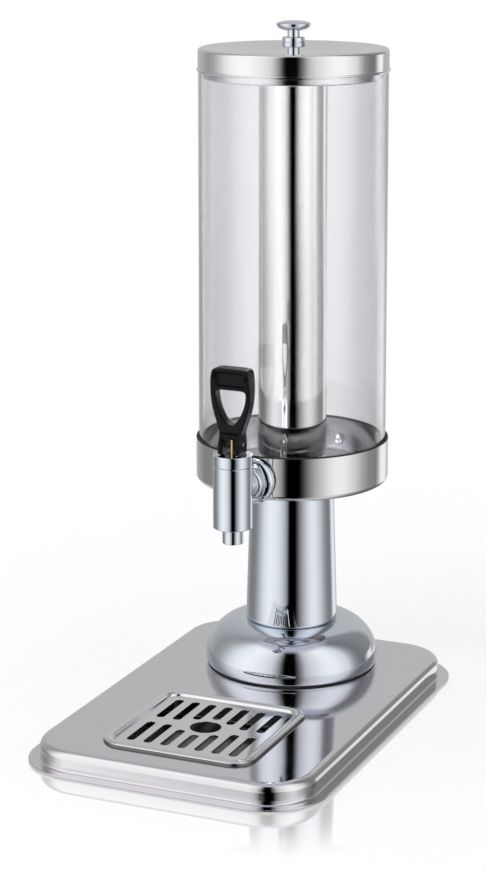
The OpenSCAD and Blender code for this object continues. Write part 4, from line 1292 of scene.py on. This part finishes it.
@dataclass
class Handle:
    """Looped lever handle, shaped from its front outline and its side profile."""

    low: float = 247.5
    knee: float = 256.0
    pin_z: float = 256.4
    crown: float = 323.5
    leg_in: float = 6.0
    leg_top: float = 267.0
    gap_top: float = 263.2
    loop: tuple[float, float] = (273.7, 304.5)
    round_edge: float = 1.3
    folds: tuple[float, float] = (265.2, 267.6)
    grip_z: float = 300.0
    grip: tuple[float, float] = (305.0, 323.0)
    grip_half: float = 15.5
    grip_spread: float = 1.45
    scoop: float = 3.6
    scoop_half: float = 17.2
    scoop_step: float = 0.7
    tilt: float = 30.0
    lift: float = 3.0
    cam_steps: int = 12
    front: Profile = Profile(-10.9, 4.6, -6.0, -2.4, 6.0)
    back: Profile = Profile(9.0, -2.8, 6.0, 1.2, 5.0)
    right_side: Path = (
        (9.0, 323.5), (15.6, 323.3), (17.5, 320.5), (18.4, 311.0), (18.9, 301.0), (17.8, 290.1),
        (15.1, 280.2), (11.9, 271.6), (10.0, 266.5), (6.0, 263.2))
    right_loop: Path = (
        (7.0, 304.5), (12.6, 304.4), (14.1, 303.0), (14.2, 300.0), (13.7, 295.5), (12.2, 289.5),
        (9.0, 281.9), (5.6, 277.0), (3.0, 274.6), (1.4, 273.9))

    def ring(self, bm: BMesh, crown: float, half: Path, base: float) -> list[BMEdge]:
        """Draws a closed border from its right half.

        Args:
            bm: Drawing to add it to.
            crown: Height of its topmost point on the middle line.
            half: Points of its right half, downwards.
            base: Height of its lowest point on the middle line.

        Returns:
            The border's edges.
        """
        path = [(0.0, crown), *half, (0.0, base), *((-x, z) for x, z in reversed(half))]
        verts = [bm.verts.new((x, 0, z)) for x, z in path]
        return [bm.edges.new((a, b)) for a, b in zip(verts, verts[1:] + verts[:1])]

    def depth(self, face: Profile, z: float) -> float:
        """Works out where along Y the front or rear face stands at a height.

        Args:
            face: Profile of the face.
            z: The height.

        Returns:
            The place along Y.
        """
        low, high = self.folds
        if z < high + MERGE:
            return face.fork + face.fold * min(max((z - low) / (high - low), 0), 1)
        return face.arms + face.swell * min(max((z - self.grip_z) / face.swell_height, 0), 1)

    def sheet(self) -> BMesh:
        """Draws the handle's front view as one flat sheet with its loop, grip and legs.

        Returns:
            The sheet.
        """
        bm = bmesh.new()
        outer = self.ring(bm, self.crown, self.right_side, self.gap_top)
        inner = self.ring(bm, self.loop[1], self.right_loop, self.loop[0])
        bmesh.ops.bridge_loops(bm, edges=outer + inner)
        spokes = [e for e in bm.edges if e not in set(outer) and e not in set(inner)]
        bmesh.ops.subdivide_edges(bm, edges=spokes, cuts=3, use_grid_fill=True)
        middle = sum(self.grip) / 2
        for v in bm.verts:
            if self.grip[0] < v.co.z < self.grip[1] and abs(v.co.x) < self.grip_half:
                v.co.z = middle + (v.co.z - middle) * self.grip_spread
        for z in self.folds:
            bmesh.ops.bisect_plane(bm, geom=geometry(bm), plane_co=(0, 0, z), plane_no=(0, 0, 1))
        feet = [e for e in bm.edges if len(e.link_faces) == 1
                and all(self.gap_top - 0.1 < v.co.z < self.leg_top and abs(v.co.x) > self.leg_in - 0.1
                        for v in e.verts)]
        for low in (self.knee, self.low):
            drop = bmesh.ops.extrude_edge_only(bm, edges=feet)["geom"]
            for v in only(BMVert, drop):
                v.co.z = low
            feet = only(BMEdge, drop)
        bmesh.ops.recalc_face_normals(bm, faces=bm.faces)
        if bm.faces[:][0].normal.y > 0:
            bmesh.ops.reverse_faces(bm, faces=bm.faces)
        return bm

    def shape(self) -> BMesh:
        """Thickens the sheet, scoops the grip, rounds the edges and cuts the cam.

        Returns:
            The handle's mesh.
        """
        bm = self.sheet()
        copy = bmesh.ops.extrude_face_region(bm, geom=bm.faces[:], use_keep_orig=True)["geom"]
        rear = set(only(BMVert, copy))
        for v in bm.verts:
            v.co.y = self.depth(self.back if v in rear else self.front, v.co.z)
        bm.normal_update()
        low, high = self.grip
        scoop = [f for f in bm.faces if not any(v in rear for v in f.verts)
                 and all(low < v.co.z < high and abs(v.co.x) < self.scoop_half for v in f.verts)]
        for _ in range(2):
            bmesh.ops.inset_region(bm, faces=scoop, thickness=self.scoop_step, depth=0,
                                   use_even_offset=True)
        bmesh.ops.translate(bm, verts=list({v for f in scoop for v in f.verts}), vec=(0, self.scoop, 0))
        bmesh.ops.recalc_face_normals(bm, faces=bm.faces)
        bevel(bm, [e for e in bm.edges if e.is_manifold and e.calc_face_angle() > 1.0], self.round_edge, 2)
        self.cut_cam(bm)
        bmesh.ops.translate(bm, verts=bm.verts, vec=(0, TAP_Y, 0))
        tidy(bm)
        return bm

    def cut_cam(self, bm: BMesh) -> None:
        """Shapes the fork's lower end as a cam that stays just above the bonnet while the handle tilts.

        Args:
            bm: The handle's mesh, before it is moved to the tap.
        """
        tilt = math.radians(self.tilt)
        rise = self.lift / tilt
        for forward in (rise, (rise - self.front.fork) / 2):
            legs = [f for f in bm.faces if all(v.co.z < self.pin_z for v in f.verts)]
            edges = {e for f in legs for e in f.edges}
            verts = {v for f in legs for v in f.verts}
            bmesh.ops.bisect_plane(bm, geom=[*legs, *edges, *verts], plane_co=(0, -forward, 0),
                                   plane_no=(0, 1, 0))
        pin = Vector((0, 0, self.pin_z))
        for step in range(self.cam_steps + 1):
            angle = tilt * step / self.cam_steps
            down = Vector((0, -math.sin(angle), -math.cos(angle)))
            reach = self.pin_z - self.low + rise * angle
            for v in bm.verts:
                v.co -= down * max((v.co - pin).dot(down) - reach, 0)

    def build(self) -> None:
        """Builds the handle."""
        Piece("lever", self.shape(), BLACK_PLASTIC, Body.HANDLE, ("handle",), rounds=2).build()


# Studio


@dataclass
class Studio:
    """Camera, floor and light; places in metres, angles in degrees.

    Attributes:
        place, pitch, heading: Place, tilt and turn of the camera; the light turns with it.
        lens, sensor: Focal length and width of the sensor in millimetres.
        shift, clip: Upward shift of the picture, and distance at which the camera begins to see.
        floor_radius, floor_colour: Radius and colour of the floor.
        mirrored, reach, fade: Half the size of the block whose surroundings mirror, distance from it
            where the mirroring begins to fade, and distance over which it fades.
        mirror: Strength of the mirroring.
        clear_radius: Distances where the floor begins to turn white and where it is.
        low, walls, strip, upper: Rings of light from below upwards, as angle and brightness of each
            stop; the strip covers only the angles it names.
        below, level, over_strip, roof: Heights between which each ring turns into the one above.
        ceiling: Colour of the light from above.
        inside: Strength of the light that steel inside the clear tube mirrors.
        lamp_size, lamp_power, lamp_place, lamp_aim: Diameter, watts, place and target of the lamp.
    """

    place: tuple[float, float, float] = (0.80988, -1.86312, 0.76496)
    pitch: float = 80.491
    heading: float = 23.632
    lens: float = 98.685
    sensor: float = 36.0
    shift: float = -0.2187
    clip: float = 0.05
    floor_radius: float = 1.7
    floor_colour: tuple[float, float, float, float] = (0.96, 0.96, 0.96, 1)
    mirrored: tuple[float, float, float] = (0.10, 0.165, 0)
    reach: float = 0.035
    fade: float = 0.09
    mirror: float = 0.5
    clear_radius: tuple[float, float] = (0.45, 1.1)
    walls: Path = (
        (-180, 0.60), (-155, 0.42), (-130, 0.25), (-113, 0.28), (-102, 0.42), (-90, 0.68), (-78, 0.94),
        (-60, 1.13), (-40, 1.00), (-31, 0.85), (-23, 0.66), (-15, 0.38), (-9, 0.02),
        (-6, 0.0), (8, 0.0), (12, 0.05), (18, 0.21), (26, 0.45), (43, 0.88), (52, 1.02),
        (61, 1.02), (70, 0.90), (81, 0.70), (92, 0.44), (104, 0.28), (119, 0.24), (126, 0.55),
        (132, 1.00), (146, 1.00), (156, 0.60), (180, 0.60))
    upper: Path = (
        (-180, 0.57), (-150, 0.50), (-125, 0.36), (-112, 0.44), (-102, 0.63), (-92, 0.89), (-82, 1.05),
        (-66, 1.17), (-54, 1.13), (-40, 1.00), (-28, 0.80), (-20, 0.42), (-14, 0.08), (-11, 0.0),
        (3, 0.0), (6, 0.06), (11, 0.25), (18, 0.62), (26, 0.82), (38, 1.00), (50, 1.12), (62, 1.10),
        (80, 0.84), (86, 0.57), (93, 0.34), (103, 0.22), (114, 0.25), (126, 0.28), (138, 0.31),
        (148, 0.58), (180, 0.57))
    low: Path = (
        (-180, 0.60), (-100, 0.45), (-80, 0.60), (-60, 0.68), (-44, 0.68), (-34, 0.55), (-26, 0.30),
        (-20, 0.0), (9, 0.0), (14, 0.12), (26, 0.48), (56, 0.80), (90, 0.30), (112, 0.16), (130, 0.12),
        (145, 0.16), (180, 0.60))
    strip: Path = ((112, 0.20), (117, 0.50), (123, 1.00), (130, 1.06), (137, 0.50), (180, 0.57))
    below: tuple[float, float] = (-0.366, -0.352)
    level: tuple[float, float] = (-0.20, -0.12)
    over_strip: tuple[float, float] = (-0.04, 0.02)
    roof: tuple[float, float] = (0.84, 0.96)
    ceiling: Colour = (0.54, 0.56, 0.62)
    inside: float = 4.5
    lamp_size: float = 1.4
    lamp_power: float = 4.0
    lamp_place: tuple[float, float, float] = (-0.5, -0.9, 1.9)
    lamp_aim: tuple[float, float, float] = (0, 0, 0.3)

    def camera(self) -> None:
        """Sets the camera at the photograph's viewpoint."""
        data = bpy.data.cameras.new("camera")
        data.lens, data.sensor_width = self.lens, self.sensor
        data.shift_y = self.shift
        data.clip_start = self.clip
        cam = bpy.data.objects.new("camera", data)
        cam.location = self.place
        cam.rotation_euler = (math.radians(self.pitch), 0, math.radians(self.heading))
        bpy.context.scene.collection.objects.link(cam)
        bpy.context.scene.camera = cam

    @staticmethod
    def _ring(graph: Graph, angle: NodeSocket, stops: Path) -> NodeSocket:
        """Adds a ring of soft boxes round the object.

        Args:
            graph: Nodes of the world.
            angle: Angle round the object, from 0 to 1.
            stops: Angle in degrees and brightness of each stop.

        Returns:
            The ring's colour.
        """
        ramp = graph.tree.nodes.new("ShaderNodeValToRGB")
        points = ramp.color_ramp.elements
        while len(points) < len(stops):
            points.new(0.5)
        for point, (degrees, value) in zip(points, stops):
            point.position = (degrees + 180) / 360
            point.color = (value, value, value, 1)
        graph.feed(ramp, {"Fac": angle})
        return ramp.outputs["Color"]

    def _dome(self, graph: Graph) -> NodeSocket:
        """Adds the rings of light and the ceiling over them.

        Args:
            graph: Nodes of the world.

        Returns:
            Their colour.
        """
        turned = graph.add("Mapping", {"Vector": graph.add("TexCoord")["Generated"],
                                       "Rotation": (0, 0, -math.radians(self.heading))})
        way = graph.add("SeparateXYZ", {"Vector": turned["Vector"]})
        turn = graph.number("ARCTAN2", way["X"], graph.number("MULTIPLY", way["Y"], -1))
        angle = graph.span(turn, -math.pi, math.pi)
        lit = tuple(stop for stop in self.upper if stop[0] < self.strip[0][0]) + self.strip
        dome, *above = [self._ring(graph, angle, stops) for stops in (self.low, self.walls, lit, self.upper)]
        borders = (self.below, self.level, self.over_strip, self.roof)
        for ring, border in zip((*above, (*self.ceiling, 1)), borders):
            dome = graph.mix(graph.span(way["Z"], *border, kind="SMOOTHSTEP"), dome, ring)
        return dome

    def light(self) -> None:
        """Lights the object: rings of soft boxes for gloss, an even sky for matt surfaces, and a lamp."""
        world = bpy.data.worlds.new("studio")
        bpy.context.scene.world = world
        graph = Graph(world)
        path = graph.add("LightPath")
        glossy, matt, glossy_twice, through = (
            graph.number("GREATER_THAN", path[name + " Depth"], bounces - 0.5)
            for name, bounces in (("Glossy", 1), ("Diffuse", 1), ("Glossy", 2), ("Transmission", 3)))
        seen = graph.mix(glossy, WHITE, self._dome(graph))
        for factor in (graph.number("MULTIPLY", path["Is Singular Ray"], path["Is Glossy Ray"]), matt):
            seen = graph.mix(factor, seen, WHITE)
        inside = graph.number("MULTIPLY", glossy_twice, through)
        power = graph.number("MULTIPLY_ADD", inside, self.inside - 1, 1)
        graph.feed(world.node_tree.nodes["Background"], {"Color": seen, "Strength": power})
        lamp = bpy.data.lights.new("overhead", "AREA")
        lamp.shape, lamp.size, lamp.energy = "DISK", self.lamp_size, self.lamp_power
        head = bpy.data.objects.new("overhead", lamp)
        head.location = self.lamp_place
        head.rotation_euler = (Vector(self.lamp_aim) - head.location).to_track_quat("-Z", "Y").to_euler()
        head.visible_glossy = False
        bpy.context.scene.collection.objects.link(head)

    def floor(self) -> None:
        """Lays a white floor that mirrors the base faintly and only close to it."""
        bm = bmesh.new()
        bmesh.ops.create_circle(bm, cap_ends=True, segments=STEPS_SMALL, radius=self.floor_radius)
        mesh = bpy.data.meshes.new("floor")
        bm.to_mesh(mesh)
        bm.free()
        obj = bpy.data.objects.new("floor", mesh)
        bpy.context.scene.collection.objects.link(obj)
        obj.visible_glossy = obj.visible_transmission = False
        mat = bpy.data.materials.new("floor")
        graph = Graph(mat)
        graph.tree.nodes.clear()
        place = graph.add("TexCoord")["Object"]
        past = graph.vector("SUBTRACT", graph.vector("ABSOLUTE", place), self.mirrored)
        far = graph.length(graph.vector("MAXIMUM", past, (0, 0, 0)))
        mirror = graph.span(far, self.reach, self.reach + self.fade, self.mirror, 0, "SMOOTHSTEP")
        matt = graph.add("BsdfDiffuse", {"Color": self.floor_colour})[0]
        shine = graph.add("BsdfAnisotropic", {"Color": WHITE, "Roughness": 0})[0]
        both = graph.add("MixShader", {"Fac": mirror, 1: matt, 2: shine})[0]
        away = graph.span(graph.length(place), *self.clear_radius, kind="SMOOTHSTEP")
        glow = graph.add("Emission", {"Color": WHITE})[0]
        graph.add("OutputMaterial", {"Surface": graph.add("MixShader", {"Fac": away, 1: both, 2: glow})[0]})
        mesh.materials.append(mat)

    def build(self) -> None:
        """Sets camera, floor, light and the view transform."""
        bpy.context.scene.view_settings.view_transform = "Standard"
        self.camera()
        self.light()
        self.floor()


def main() -> None:
    """Builds the scene."""
    logging.basicConfig(level=logging.INFO, format="%(message)s")
    Studio().build()
    for assembly in (Base(), DripTray(), Stand(), Vessel(), Lid(), Tap(), Handle()):
        assembly.build()
    dress(BLACK_RUBBER, "base_feet", "ice_gasket", "stem_oring", "outer_gasket", "wall_gasket",
          "inner_gasket")
    dress(PLAIN_STEEL, "feet_screws", "foot_stiffener", "tie_rod", "rod_washer", "rod_nut", "knob_washer",
          "knob_screw", "tap_shank", "handle_pin")
    dress(WHITE_SILICONE, "tube_seal", "seat_cup")


if __name__ == "__main__":
    main()
